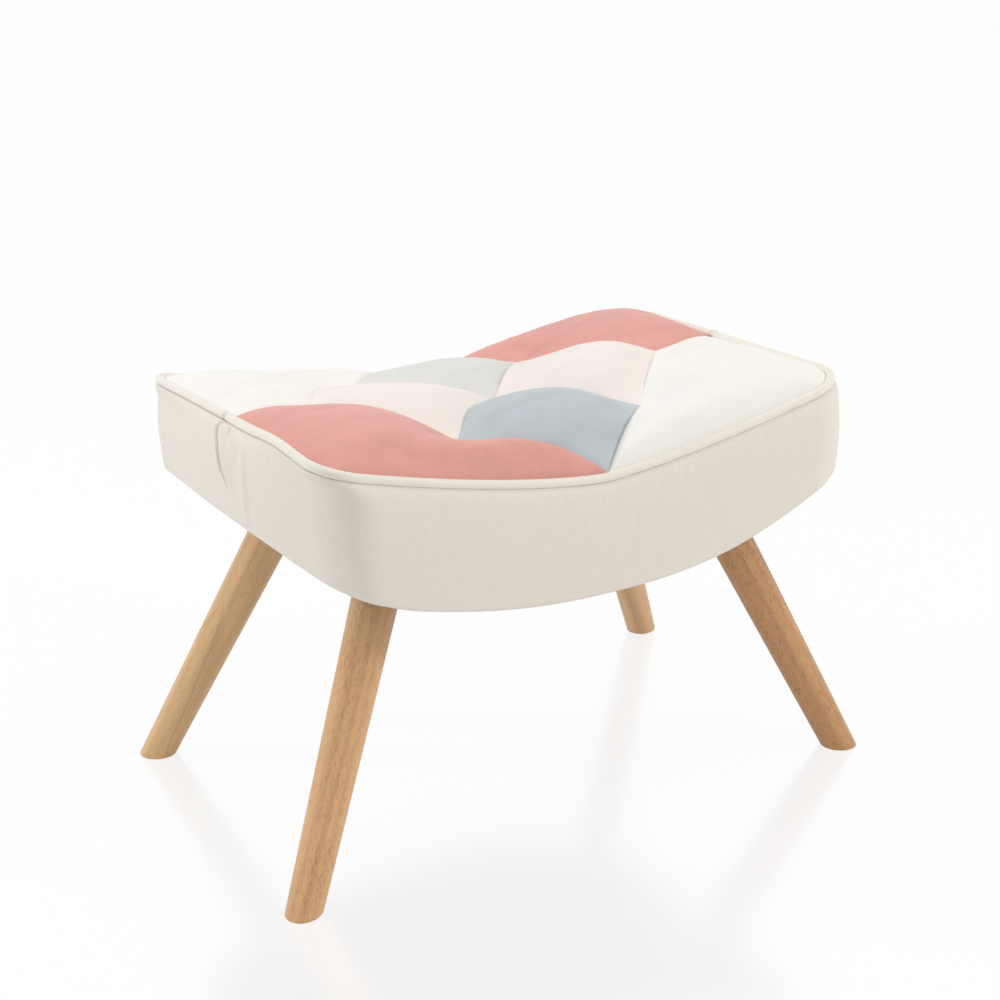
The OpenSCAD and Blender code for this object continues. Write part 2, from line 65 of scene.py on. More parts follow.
# The seat's outline and heights

def unit(value):
    return np.clip(value, 0, 1)


def bell(away, width):
    return np.exp(-(away / width) ** 2)


CORNER_STEPS = 60


def rounded(radii, off):
    """Plan points round the seat, off outside its outline, from the left side's middle past the near side."""
    a, b = HALF_LEN, HALF_WID
    points = [(-(a + off), 0.0)]
    for (side_x, side_y, start), r in zip(((-1, -1, 180), (1, -1, 270), (1, 1, 0), (-1, 1, 90)), radii):
        for k in range(CORNER_STEPS + 1):
            t = math.radians(start + 90 / CORNER_STEPS * k)
            x = side_x * (a - r) + (r + off) * math.cos(t)
            points.append((x, side_y * (b - r) + (r + off) * math.sin(t)))
    points.append(points[0])
    return np.array(points)


# Step between the two outlines that give the way outwards
OUT_STEP = 0.01
RIM_LINE, RIM_OUTER = rounded(RIM_RADII, 0.0), rounded(RIM_RADII, OUT_STEP)
LOW_LINE, LOW_OUTER = rounded(LOW_RADII, 0.0), rounded(LOW_RADII, OUT_STEP)
RUN = np.concatenate([[0], np.cumsum(np.linalg.norm(np.diff(RIM_LINE, axis=0), axis=1))])
ROUND = RUN[-1]


def on_outline(s, off=0.0, low=0.0):
    """Plan points at s round the seat, moved out by off; low is 0 at the piping and 1 at the lower edge."""
    s = np.mod(np.asarray(s, float), ROUND)
    off, low = (np.asarray(v, float).reshape(-1, 1) for v in (off, low))

    def at(line, outer):
        inner, outer = (
            np.column_stack([np.interp(s, RUN, edge[:, i]) for i in (0, 1)]) for edge in (line, outer)
        )
        return inner + (outer - inner) * off / OUT_STEP

    return at(RIM_LINE, RIM_OUTER) * (1 - low) + at(LOW_LINE, LOW_OUTER) * low


# Share of the height by which the side band follows the lower edge's outline
LOW_BY = 0.3


def low_share(depth):
    """How far a place on the side band follows the lower edge's outline; depth is a share of the height."""
    t = unit(np.asarray(depth, float) / LOW_BY)
    return t * t * (3 - 2 * t)


def rim_z(x):
    return RIM_MID_Z + RIM_RISE * (np.abs(x) / HALF_LEN) ** RIM_POWER


def base_z(x):
    return BASE_MID_Z + BASE_RISE * (np.abs(x) / HALF_LEN) ** BASE_POWER


def seam_z(x, y):
    fade_x = 1 - np.minimum(1, np.abs(x) / HALF_LEN) ** CROWN_POWER_X
    fade_y = 1 - np.minimum(1, np.abs(y) / HALF_WID) ** CROWN_POWER_Y
    return rim_z(x) + EDGE_H + CROWN_H * fade_x * fade_y


def spaced(parts, steps):
    """Distances through each part by its own step."""
    return np.concatenate([np.arange(a, b, step) for a, b, step in zip(parts, parts[1:], steps)])


def bump_at(x, y, centre, reach):
    return np.exp(-((x - centre[0]) ** 2 + (y - centre[1]) ** 2) / reach ** 2)


# Where sewing and stapling drew the cover off its true shape: plan centre, reach, and the moves, in
# millimetres, at the lower edge, over the middle of the side and at the piping
PULLS = (
    ((-0.280, -0.187), 0.088, (24, 0, -19), (20, 0, -6), (0, 0, 0)),
    ((-0.280, 0.187), 0.110, (5, 0, -3), (3.5, 0, 0), (-9, 4, 0)),
    ((0.280, -0.187), 0.110, (2, 0, 0), (2, 0, 0), (7, 0, 0)),
    ((0.235, -0.190), 0.070, (0, 0, 4), (0, 0, 0), (0, 0, 0)),
    ((0.280, 0.187), 0.100, (0, 0, 0), (0, 0, 0), (0, -3, -3)),
    ((0.130, 0.187), 0.070, (0, 0, 0), (0, 0, 0), (0, 0, -3)),
    ((-0.280, -0.095), 0.045, (0, 0, 0), (0, 0, 0), (0, 0, 4)),
)
# Shares of the height where the piping's moves begin and the lower edge's end
TOP_FROM, LOW_TO = 0.6, 0.35


def warped(p):
    """Points of the cover with the pulls applied."""
    q = np.array(p, float)
    x, y, z = q.T.copy()
    share = unit((z - base_z(x)) / (rim_z(x) - base_z(x)))
    high = unit((share - TOP_FROM) / (1 - TOP_FROM)) ** 3
    deep = unit(1 - share / LOW_TO)
    for centre, reach, low, mid, top in PULLS:
        w = MM * bump_at(x, y, centre, reach)[:, None]
        q += w * (np.outer(deep, low) + np.outer(1 - deep - high, mid) + np.outer(high, top))
    return q


# The top cover's seams: tufts, the places where seams meet the piping, and how each seam rises between them

EDGE_IN = 0.0070
PLACES = {
    "mid": (-0.0035, 0.0013), "left": (-0.1960, 0.0032), "right": (0.1880, 0.0005),
    "near_left": (-0.1055, -0.1070), "near_right": (0.0985, -0.1000),
    "far_left": (-0.1050, 0.1060), "far_right": (0.0890, 0.1075),
    "near_end": (0.008, EDGE_IN - HALF_WID), "far_end": (-0.004, HALF_WID - EDGE_IN),
    "left_end": (EDGE_IN - HALF_LEN, 0.011), "right_end": (HALF_LEN - EDGE_IN, 0.017),
}
SUNK = {"left": 0.0033, "far_left": 0.0040}
# Lift in the middle, its lean towards the second place, and bow to the left of the way, in millimetres
SEAMS = {
    ("left", "near_left"): (12, 0, 0), ("near_left", "mid"): (9, 0, 6), ("left", "far_left"): (9, -0.6, 11),
    ("far_left", "mid"): (6.5, 1.6, 0), ("mid", "near_right"): (9, 0, 0), ("right", "near_right"): (9, 0, 0),
    ("mid", "far_right"): (9, 0, 0), ("far_right", "right"): (9, 1.0, 0),
    ("near_left", "near_end"): (12, 0.4, 0), ("near_right", "near_end"): (9, 0, 0),
    ("far_left", "far_end"): (11, -1.2, 0), ("far_right", "far_end"): (9, 0, 0),
    ("left", "left_end"): (5.5, 0, 0), ("right", "right_end"): (4, 0.9, 0),
}
SEAM_POWER, PUFF_POWER, PUFF_EASE = 1.2, 0.6, 0.03
CREASE_REACH, CREASE_DEPTH = 0.0020, 0.0011
# How far a tuft flattens the patches round it, and by what share
TUFT_REACH, TUFT_PULL = 0.034, 0.85
LIFT_MID, LIFT_DROP, LIFT_POWER = 0.0080, 0.0038, 6


def edge_lift(x):
    """Height above the piping seam at which the top cover meets the piping."""
    return LIFT_MID - LIFT_DROP * (np.abs(x) / HALF_LEN) ** LIFT_POWER


def spot(name):
    """A tuft or a seam's end as a point of the cover."""
    x, y = PLACES[name]
    z = rim_z(x) + edge_lift(x) if name.endswith("_end") else seam_z(x, y) - SUNK.get(name, 0.0)
    return np.array([x, y, float(z)])


def seam(a, b, count):
    """Points along the seam between two named places."""
    turned = (a, b) not in SEAMS
    lift, lean, bow = SEAMS[(b, a) if turned else (a, b)]
    if turned:
        lean, bow = -lean, -bow
    t = np.linspace(0, 1, count)[:, None]
    line = spot(a) * (1 - t) + spot(b) * t
    ahead = (spot(b) - spot(a))[:2] / np.linalg.norm((spot(b) - spot(a))[:2])
    line[:, :2] += MM * bow * (4 * t * (1 - t)) * np.array([-ahead[1], ahead[0]])
    line[:, 2] += MM * lift * ((4 * t * (1 - t)) ** SEAM_POWER * (1 + lean * (2 * t - 1)))[:, 0]
    return line


EDGE_TRIES = 4000


def edge_run(start, end, count):
    """The cover's outer edge against the piping, between two seams' ends in the outline's direction."""
    dense = np.linspace(0, ROUND, EDGE_TRIES, endpoint=False)
    line = on_outline(dense)
    s0, s1 = (dense[np.argmin(((line - PLACES[name]) ** 2).sum(axis=1))] for name in (start, end))
    s = np.linspace(s0, s1 + (ROUND if s1 <= s0 else 0), count)
    p = on_outline(s, -EDGE_IN)
    p[0], p[-1] = PLACES[start], PLACES[end]
    return np.column_stack([p, rim_z(on_outline(s)[:, 0]) + edge_lift(p[:, 0])])


def stretched(v0, v1, u0, u1):
    """A surface between four edges: v0 and v1 run along u, u0 and u1 run along v."""
    u = np.linspace(0, 1, len(v0))[:, None, None]
    v = np.linspace(0, 1, len(u0))[None, :, None]
    return ((1 - v) * v0[:, None] + v * v1[:, None] + (1 - u) * u0[None] + u * u1[None]
            - (1 - u) * (1 - v) * v0[0] - u * (1 - v) * v0[-1] - (1 - u) * v * v1[0] - u * v * v1[-1])


def puffed(grid, height, reaches):
    """Swells a patch between its seams, flattens it towards the tufts and pinches it in at the seams."""
    rows, cols = grid.shape[:2]
    u = np.linspace(0, 1, rows)[:, None]
    v = np.linspace(0, 1, cols)[None, :]
    ease = PUFF_EASE ** PUFF_POWER
    puff = ((16 * u * (1 - u) * v * (1 - v) + PUFF_EASE) ** PUFF_POWER - ease) / (1 - ease)
    near = np.ones((rows, cols))
    for name, place in PLACES.items():
        reach = reaches.get(name, 0 if name.endswith("_end") else TUFT_REACH)
        if reach:
            near *= 1 - TUFT_PULL * bump_at(grid[:, :, 0], grid[:, :, 1], place, reach)
    out = grid.copy()
    out[:, :, 2] += MM * height * puff * near
    gaps = [np.linalg.norm(grid - side, axis=2) for side in (grid[:1], grid[-1:], grid[:, :1], grid[:, -1:])]
    out[:, :, 2] -= CREASE_DEPTH * np.minimum(1, sum(np.exp(-gap / CREASE_REACH) for gap in gaps))
    return out, puff


DIAMOND_STEPS, CORNER_DEPTH = 81, 65

# The eight patches: the places round each, its puff in millimetres, and the tufts whose reach differs
DIAMONDS = {
    "blush_left": (("left", "near_left", "mid", "far_left"), 7, {"far_left": 0.062, "mid": 0.012}),
    "blush_right": (("mid", "near_right", "right", "far_right"), 14, {"far_right": 0.085, "right": 0.026}),
    "slate_near": (("near_left", "near_end", "near_right", "mid"), 14, {"mid": 0.050}),
    "grey_far": (("mid", "far_right", "far_end", "far_left"), 7, {"far_left": 0.014, "far_right": 0.030}),
}
CORNERS = {
    "pink_near": (("left", "near_left", "near_end", "left_end"), 15, {}),
    "white_near": (("right", "near_right", "near_end", "right_end"), 16, {"right": 0.075}),
    "white_far": (("left", "far_left", "far_end", "left_end"), 9, {}),
    "pink_far": (("right", "far_right", "far_end", "right_end"), 19, {"far_right": 0.026, "far_end": 0.080}),
}


def patch_grid(name):
    """The surface of one patch before the pulls, and how far each of its points is swollen."""
    n, m = DIAMOND_STEPS, CORNER_DEPTH
    if name in DIAMONDS:
        (a, b, c, d), height, reaches = DIAMONDS[name]
        return puffed(stretched(seam(a, b, n), seam(d, c, n), seam(a, d, n), seam(b, c, n)), height, reaches)
    (a, b, c, end), height, reaches = CORNERS[name]
    count = 2 * n - 1
    forward = name in ("pink_near", "pink_far")
    edge = edge_run(end, c, count) if forward else edge_run(c, end, count)[::-1]
    chain = np.vstack([seam(a, b, n), seam(b, c, n)[1:]])
    tip = np.repeat(spot(c)[None], m, axis=0)
    return puffed(stretched(chain, edge, seam(a, end, m), tip), height, reaches)


# The side band's section: offset from the outline, and depth as a share of the band's height
BAND_OFF = np.array([-1.7, 0.0, 2.2, 4.2, 6.4, 8.4, 10.2, 11.0, 11.0, 10.6, 10.0, 9.4]) * MM
BAND_DEPTH = np.array([-0.006, 0.004, 0.022, 0.05, 0.10, 0.18, 0.30, 0.45, 0.62, 0.78, 0.90, 0.965])


def band_points(s, off, share):
    """Points of the side band at s round the seat, by offset and by depth as a share of the height."""
    low = low_share(share)
    edge = on_outline(s, 0.0, low)
    z = (1 - share) * rim_z(on_outline(s)[:, 0]) + share * base_z(edge[:, 0])
    return np.column_stack([on_outline(s, off, low), z])


# Making pieces

# Distances that count as none, between points and off a plane
MERGE, ON_PLANE = 1e-6, 1e-5
# Degrees up to which edges look smooth
CLOTH_ANGLE, SAWN_ANGLE, LEG_ANGLE = 50, 30, 35


def tidy_mesh(mesh, merge):
    bm = bmesh.new()
    bm.from_mesh(mesh)
    bmesh.ops.remove_doubles(bm, verts=bm.verts, dist=merge)
    bmesh.ops.recalc_face_normals(bm, faces=bm.faces)
    bm.to_mesh(mesh)
    bm.free()


def mesh_piece(name, points, faces, uvs=None, merge=MERGE):
    """A smooth mesh object from points in the row frame; uvs has one pair for each point."""
    mesh = bpy.data.meshes.new(name)
    mesh.from_pydata([tuple(p) for p in points], [], faces)
    if uvs is not None:
        layer = mesh.uv_layers.new(name="weave")
        for loop in mesh.loops:
            layer.data[loop.index].uv = uvs[loop.vertex_index]
    tidy_mesh(mesh, merge)
    mesh.shade_smooth()
    return placed(name, mesh)


def grid_faces(rows, cols, closed=False):
    """Quads over rows by cols points; closed joins the last column to the first."""
    wide = cols if closed else cols - 1
    return [
        (i * cols + j, i * cols + (j + 1) % cols, (i + 1) * cols + (j + 1) % cols, (i + 1) * cols + j)
        for i in range(rows - 1) for j in range(wide)
    ]


def closed_body(name, rings, top, low):
    """A closed piece through rings of points from the top down, with a point in the middle of each end."""
    around, rows = len(rings[0]), len(rings)
    faces = grid_faces(rows, around, closed=True)
    first, last = rows * around, rows * around + 1
    faces += [(first, (j + 1) % around, j) for j in range(around)]
    faces += [(last, last - 1 - around + j, last - 1 - around + (j + 1) % around) for j in range(around)]
    return mesh_piece(name, np.vstack([*rings, [top], [low]]), faces)


def mode(name):
    bpy.ops.object.mode_set(mode=name)


def placed(name, data):
    """A new object in the scene."""
    obj = bpy.data.objects.new(name, data)
    bpy.context.scene.collection.objects.link(obj)
    return obj


def only(*pieces):
    """Selects these objects alone and makes the first one active."""
    bpy.ops.object.select_all(action="DESELECT")
    for piece in pieces:
        piece.select_set(True)
    bpy.context.view_layer.objects.active = pieces[0]


def added(make, **settings):
    """The object that an operator makes, selected alone."""
    bpy.ops.object.select_all(action="DESELECT")
    make(**settings)
    return bpy.context.object


def apply_modifier(piece, kind, **settings):
    only(piece)
    modifier = piece.modifiers.new(kind.title(), kind)
    for key, value in settings.items():
        setattr(modifier, key, value)
    bpy.ops.object.modifier_apply(modifier=modifier.name)


def as_cloth(piece, thickness):
    """Turns a one-sided surface whose faces point out into cloth of this thickness, inwards."""
    apply_modifier(piece, "SOLIDIFY", thickness=thickness, offset=-1.0)
    return smooth(piece, CLOTH_ANGLE)


def smooth(piece, angle):
    only(piece)
    bpy.ops.object.shade_smooth_by_angle(angle=math.radians(angle))
    return piece


def turn_faces(piece, up):
    """Turns the faces of a lying sheet all upwards or all downwards."""
    if (sum(face.normal.z for face in piece.data.polygons) > 0) != up:
        piece.data.flip_normals()


def area_of(piece):
    return sum(face.area for face in piece.data.polygons)


def dress(piece, material, slot, *nodes):
    """Gives a piece its material, rides it on the model and hides the nodes that it stands for; slot is not
    used.
    """
    piece.data.materials.clear()
    piece.data.materials.append(material)
    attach(piece, "root")
    if nodes:
        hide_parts(*nodes)
    return piece


def wobble(points, scale, seed):
    """Smooth noise between about -1 and 1 at each point."""
    shift = Vector((seed * 7.31, seed * 3.17, seed * 5.53))
    return np.array([noise.noise(Vector(p) * scale + shift) for p in points])


# Materials

class Nodes:
    """A short way to write nodes; most methods return a socket to pass on."""

    def __init__(self, name, world=False):
        self.owner = (bpy.data.worlds if world else bpy.data.materials).new(name)
        self.owner.use_nodes = True
        self.tree = self.owner.node_tree
        self.tree.nodes.clear()
        self.output = self.add("OutputWorld" if world else "OutputMaterial")

    def add(self, kind, inputs=None, **settings):
        node = self.tree.nodes.new("ShaderNode" + kind)
        for key, value in settings.items():
            setattr(node, key, value)
        for key, value in (inputs or {}).items():
            if isinstance(value, bpy.types.NodeSocket):
                self.tree.links.new(value, node.inputs[key])
            else:
                node.inputs[key].default_value = value
        return node

    def coords(self, attribute=None, uv=None, scale=(1, 1, 1), rotation=(0, 0, 0)):
        if uv:
            source = self.add("UVMap", uv_map=uv).outputs["UV"]
        elif attribute:
            source = self.add("Attribute", attribute_name=attribute).outputs["Vector"]
        else:
            source = self.add("TexCoord").outputs["Object"]
        mapping = self.add("Mapping", {"Vector": source, "Scale": scale, "Rotation": rotation})
        return mapping.outputs[0]

    def noise(self, vector, scale=1.0, detail=3.0, rough=0.55, distortion=0.0):
        return self.add("TexNoise", {
            "Vector": vector, "Scale": scale, "Detail": detail, "Roughness": rough, "Distortion": distortion,
        }).outputs["Fac"]

    def math(self, operation, a, b=0.0, clamp=False):
        node = self.add("Math", {0: a, 1: b}, operation=operation, use_clamp=clamp)
        return node.outputs[0]

    def scaled(self, value, gain, start):
        """start + gain * value"""
        return self.math("ADD", start, self.math("MULTIPLY", value, gain))

    def mixed(self, a, b, share):
        """This share of a and the rest of b."""
        return self.math("ADD", self.math("MULTIPLY", a, share), self.math("MULTIPLY", b, 1 - share))

    def excess(self, a, b, gain):
        """gain times what a has over b, and 0 where it has nothing over."""
        return self.math("MULTIPLY", self.math("SUBTRACT", a, b, True), gain)

    def ramp(self, fac, *stops):
        node = self.add("ValToRGB", {"Fac": fac})
        elements = node.color_ramp.elements
        while len(elements) < len(stops):
            elements.new(0.5)
        for element, (place, colour) in zip(elements, stops):
            element.position = place
            element.color = (*colour, 1.0)
        return node.outputs["Color"]

    def blend(self, tone, colour, share):
        """tone, moved towards a plain colour by this share."""
        node = self.add("Mix", {0: share, 6: tone, 7: (*colour, 1.0)}, data_type="RGBA")
        return node.outputs[2]

    def bump(self, height, strength, distance, normal=None):
        inputs = {"Height": height, "Strength": strength, "Distance": distance}
        if normal is not None:
            inputs["Normal"] = normal
        return self.add("Bump", inputs).outputs[0]

    def finish(self, colour, roughness, normal, **constants):
        inputs = {"Base Color": colour, "Roughness": roughness, "Normal": normal}
        for key, value in constants.items():
            inputs[key.replace("_", " ")] = value
        return self.done("BsdfPrincipled", inputs)

    def done(self, kind, inputs):
        """Makes the last shader the surface, and returns what the nodes belong to."""
        self.tree.links.new(self.add(kind, inputs).outputs[0], self.output.inputs["Surface"])
        return self.owner


def linear(colour):
    """A colour as it shows on a screen, from 0 to 255, as the shader wants it."""
    return tuple(((c / 255 + 0.055) / 1.055) ** 2.4 if c > 10 else c / 255 / 12.92 for c in colour)


def shade(colour, k):
    return tuple(min(1.0, c * k) for c in colour)


def velvet(name, colour, nap, sheen):
    """Short-pile velvet: a brushed nap of lighter and darker strokes, and a soft sheen at grazing angles."""
    n = Nodes(name)
    base = linear(colour)
    strokes = n.coords(scale=(9, 42, 20), rotation=(0, 0, 0.5))
    brushed = n.noise(strokes, detail=4.0, distortion=0.5)
    mottled = n.noise(n.coords(), scale=48.0, rough=0.5)
    mixed = n.mixed(brushed, mottled, 0.62)
    tone = n.ramp(mixed, (0.34, shade(base, 1 - nap)), (0.5, base), (0.66, shade(base, 1 + nap * 0.6)))
    pile = n.noise(n.coords(), scale=2300.0, detail=2.0, rough=0.7)
    tone = n.blend(tone, shade(base, 0.84), n.excess(0.55, pile, 0.9))
    rough = n.scaled(mottled, 0.16, 0.78)
    normal = n.bump(mixed, strength=0.22, distance=0.0012)
    normal = n.bump(pile, strength=0.28, distance=0.0005, normal=normal)
    return n.finish(tone, rough, normal, Specular_IOR_Level=0.18, Sheen_Weight=sheen, Sheen_Roughness=0.45,
                    Sheen_Tint=(1.0, 0.98, 0.96, 1.0))


def linen(name, colour, thread=0.00065, streak=0.06):
    """A plain weave along the piece's own weave map, with uneven threads down and across the cloth."""
    n = Nodes(name)
    base = linear(colour)
    turns = 2 * math.pi / thread
    across = n.add("SeparateXYZ", {0: n.coords(uv="weave", scale=(turns, turns, 1))}).outputs
    weave = n.math("MULTIPLY", n.math("SINE", across[0]), n.math("SINE", across[1]))
    down = n.noise(n.coords(uv="weave", scale=(720, 42, 1)), rough=0.65)
    along = n.noise(n.coords(uv="weave", scale=(60, 800, 1)), detail=2.0, rough=0.6)
    cloud = n.noise(n.coords(uv="weave"), scale=22.0, detail=2.0)
    slub = n.mixed(down, along, 0.65)
    tone = n.ramp(slub, (0.32, shade(base, 1 - streak)), (0.5, base), (0.68, shade(base, 1 + streak * 0.6)))
    tone = n.blend(tone, shade(base, 0.94), n.math("MULTIPLY", cloud, 0.35))
    tone = n.blend(tone, shade(base, 0.82), n.excess(0.0, weave, 0.16))
    rough = n.scaled(slub, 0.15, 0.80)
    normal = n.bump(slub, strength=0.30, distance=0.0004)
    normal = n.bump(weave, strength=0.22, distance=0.0002, normal=normal)
    return n.finish(tone, rough, normal, Specular_IOR_Level=0.15, Sheen_Weight=0.08, Sheen_Roughness=0.6)


RING_SWAY, RING_WIDTH, RING_STRENGTH = 0.006, 0.0007, 0.42


def ring_line(n, across, top, steep):
    """The arched line of a growth ring, by its place across the leg, its top and its steepness."""
    place = n.add("SeparateXYZ", {0: n.coords("grain")}).outputs
    below = n.math("DIVIDE", n.math("SUBTRACT", top, place[2]), steep)
    sway = n.noise(n.coords("grain", scale=(30, 30, 18)))
    wander = n.math("MULTIPLY", n.math("SUBTRACT", sway, 0.5), RING_SWAY)
    flank = n.math("ADD", n.math("SQRT", n.math("MAXIMUM", below, 0.0)), wander)
    aside = n.math("ABSOLUTE", n.math("SUBTRACT", place[1], across))
    off_line = n.math("ABSOLUTE", n.math("SUBTRACT", aside, flank))
    line = n.math("SUBTRACT", 1.0, n.math("DIVIDE", off_line, RING_WIDTH), True)
    line = n.math("MULTIPLY", line, n.math("GREATER_THAN", below, 0.0))
    return n.math("MULTIPLY", line, RING_STRENGTH)


def leg_wood(name, colour, dark, pored, lean, arch):
    """Rubberwood under satin lacquer: soft figure, short dark pores, and on one leg a growth ring's line."""
    n = Nodes(name)
    base, deep = linear(colour), linear(dark)
    figure = n.noise(n.coords("grain", scale=(70, 70, 4.0)), detail=5.0, rough=0.6, distortion=1.6)
    bands = n.add("TexWave", {
        "Vector": n.coords("grain", scale=(1, 1, 0.08), rotation=(0.06, 0.13 + lean, 0)),
        "Scale": 26.0, "Distortion": 7.0, "Detail": 3.0, "Detail Scale": 1.1, "Detail Roughness": 0.6,
    }, wave_type="RINGS", rings_direction="Z").outputs["Fac"]
    fine = n.noise(n.coords("grain", scale=(900, 900, 75)), rough=0.65)
    pores = n.noise(n.coords("grain", scale=(1150, 1150, 150)), rough=0.6, distortion=0.3)
    blotch = n.noise(n.coords("grain", scale=(42, 42, 9)))
    edge = n.scaled(blotch, 0.26, 0.34)
    pore = n.math("MULTIPLY", n.math("SUBTRACT", edge, pores, True), 8.0, True)
    mixed = n.mixed(figure, bands, 0.68)
    tone = n.ramp(mixed, (0.26, shade(base, 0.87)), (0.5, base), (0.75, shade(base, 1.09)))
    tone = n.blend(tone, shade(base, 0.84), n.excess(blotch, 0.48, 1.4))
    tone = n.blend(tone, shade(base, 0.76), n.excess(fine, 0.5, 1.3))
    tone = n.blend(tone, deep, n.math("MULTIPLY", pore, pored))
    if arch:
        tone = n.blend(tone, deep, ring_line(n, *arch))
    rough = n.scaled(figure, 0.14, 0.42)
    normal = n.bump(figure, strength=0.12, distance=0.0004)
    normal = n.bump(n.math("SUBTRACT", 1.0, pore), strength=0.25, distance=0.0002, normal=normal)
    return n.finish(tone, rough, normal, Specular_IOR_Level=0.35, Coat_Weight=0.12, Coat_Roughness=0.35)


def timber(name, colour, stretch=(60, 6, 60)):
    """Sawn timber or ply, with its figure drawn out along the grain."""
    n = Nodes(name)
    base = linear(colour)
    figure = n.noise(n.coords(scale=stretch), detail=5.0, rough=0.6, distortion=1.0)
    fibre = n.noise(n.coords(scale=tuple(k * 12 for k in stretch)), detail=2.0)
    tone = n.ramp(figure, (0.3, shade(base, 0.78)), (0.55, base), (0.75, shade(base, 1.1)))
    normal = n.bump(fibre, strength=0.3, distance=0.0004)
    return n.finish(tone, n.scaled(fibre, 0.2, 0.62), normal)


def steel(name, colour, rough=0.32):
    """Zinc plate: faint spangle and rubbed roughness."""
    n = Nodes(name)
    base = linear(colour)
    spangle = n.add("TexVoronoi", {"Vector": n.coords(), "Scale": 420.0}).outputs["Distance"]
    rub = n.noise(n.coords(), scale=160.0, detail=4.0)
    tone = n.ramp(spangle, (0.0, shade(base, 0.9)), (0.7, base))
    normal = n.bump(rub, strength=0.08, distance=0.0003)
    return n.finish(tone, n.scaled(rub, 0.2, rough), normal, Metallic=1.0)


def felted(name, colour, grain, rough=0.8, strength=0.4):
    """Matted fibres, for the dust cover, the stuffing, twine and moulded washers."""
    n = Nodes(name)
    base = linear(colour)
    fibre = n.noise(n.coords(), scale=grain, detail=5.0, rough=0.7)
    cloud = n.noise(n.coords(), scale=grain / 20)
    tone = n.ramp(fibre, (0.3, shade(base, 0.75)), (0.6, base), (0.8, shade(base, 1.2)))
    tone = n.blend(tone, shade(base, 0.88), n.math("MULTIPLY", cloud, 0.5))
    normal = n.bump(fibre, strength=strength, distance=0.0005)
    return n.finish(tone, n.scaled(fibre, 0.15, rough), normal, Specular_IOR_Level=0.2)


# Colour, strength of the nap's strokes, and sheen; the names are those of the slots too
VELVETS = {
    "pink_velvet": ((228, 165, 155), 0.10, 0.25),
    "white_velvet": ((247, 245, 240), 0.03, 0.15),
    "blush_velvet": ((245, 237, 231), 0.03, 0.15),
    "slate_velvet": ((190, 201, 206), 0.08, 0.25),
    "grey_velvet": ((225, 225, 221), 0.04, 0.15),
}
VELVETS = {name: velvet(name, *looks) for name, looks in VELVETS.items()}
LINEN = linen("side_linen", (238, 231, 221))
PIPING_CLOTH = linen("piping_linen", (244, 239, 229), thread=0.0006, streak=0.04)
DUST = felted("dust_cloth", (38, 38, 40), 700.0)
STUFFING = felted("stuffing_fibre", (240, 238, 230), 500.0)
TWINE = felted("twine_fibre", (214, 204, 184), 1500.0)
WASHER = felted("washer_black", (46, 46, 48), 1200.0, 0.45, 0.1)
PINE = timber("frame_pine", (222, 196, 150))
PLY = timber("deck_ply", (214, 186, 140), (8, 70, 70))
ZINC = steel("zinc_plate", (178, 180, 184))
PASSIVATED = steel("yellow_zinc", (204, 184, 118), 0.3)


# Top cover: eight puffed patches of velvet between pulled tufts

# The node that each patch stands for, and the size that it is cut from
PATCH_NODES = {
    "blush_left": ("diamond_left", (0.235, 0.215)),
    "blush_right": ("diamond_right", (0.235, 0.215)),
    "slate_near": ("diamond_near", (0.225, 0.215)),
    "grey_far": ("diamond_far", (0.225, 0.215)),
    "pink_near": ("panel_near_left", (0.310, 0.200)),
    "white_near": ("panel_near_right", (0.310, 0.200)),
    "white_far": ("panel_far_left", (0.310, 0.200)),
    "pink_far": ("panel_far_right", (0.310, 0.200)),
}
SLOW_PITCH, SLOW_DEPTH, QUICK_PITCH, QUICK_DEPTH = 26, 0.0010, 80, 0.0004
# Joins the points at the corner patches' tips
TIP_MERGE = 2e-5


def cover_patch(name, seed):
    """One patch as cloth, and its area before it has a thickness."""
    grid, puff = patch_grid(name)
    rows, cols = grid.shape[:2]
    flat = grid.reshape(-1, 3)
    ripples = wobble(flat, SLOW_PITCH, seed) * SLOW_DEPTH + wobble(flat, QUICK_PITCH, seed + 3) * QUICK_DEPTH
    flat[:, 2] += ripples * puff.ravel()
    piece = mesh_piece(f"patch_{name}", warped(flat), grid_faces(rows, cols), merge=TIP_MERGE)
    turn_faces(piece, up=True)
    area = area_of(piece)
    return as_cloth(piece, CLOTH_T), area


for seed, (name, (node, cut)) in enumerate(PATCH_NODES.items()):
    cloth = name.split("_")[0] + "_velvet"
    patch, area = cover_patch(name, seed)
    dress(patch, VELVETS[cloth], cloth, node)


# Stuffing: foam and wadding as one body under the cover

# How far it stays below the seams and inside the outline, and off the deck
UNDER_COVER, STUFFING_IN, OFF_DECK = 0.011, 0.0095, 0.0005
# Its highest above the piping's seam at the edge and further in, and its widest line
SHOULDER, SHOULDER_RISE, WAIST_DROP, WAIST_LOW = 0.018, 0.03, 0.020, 0.6


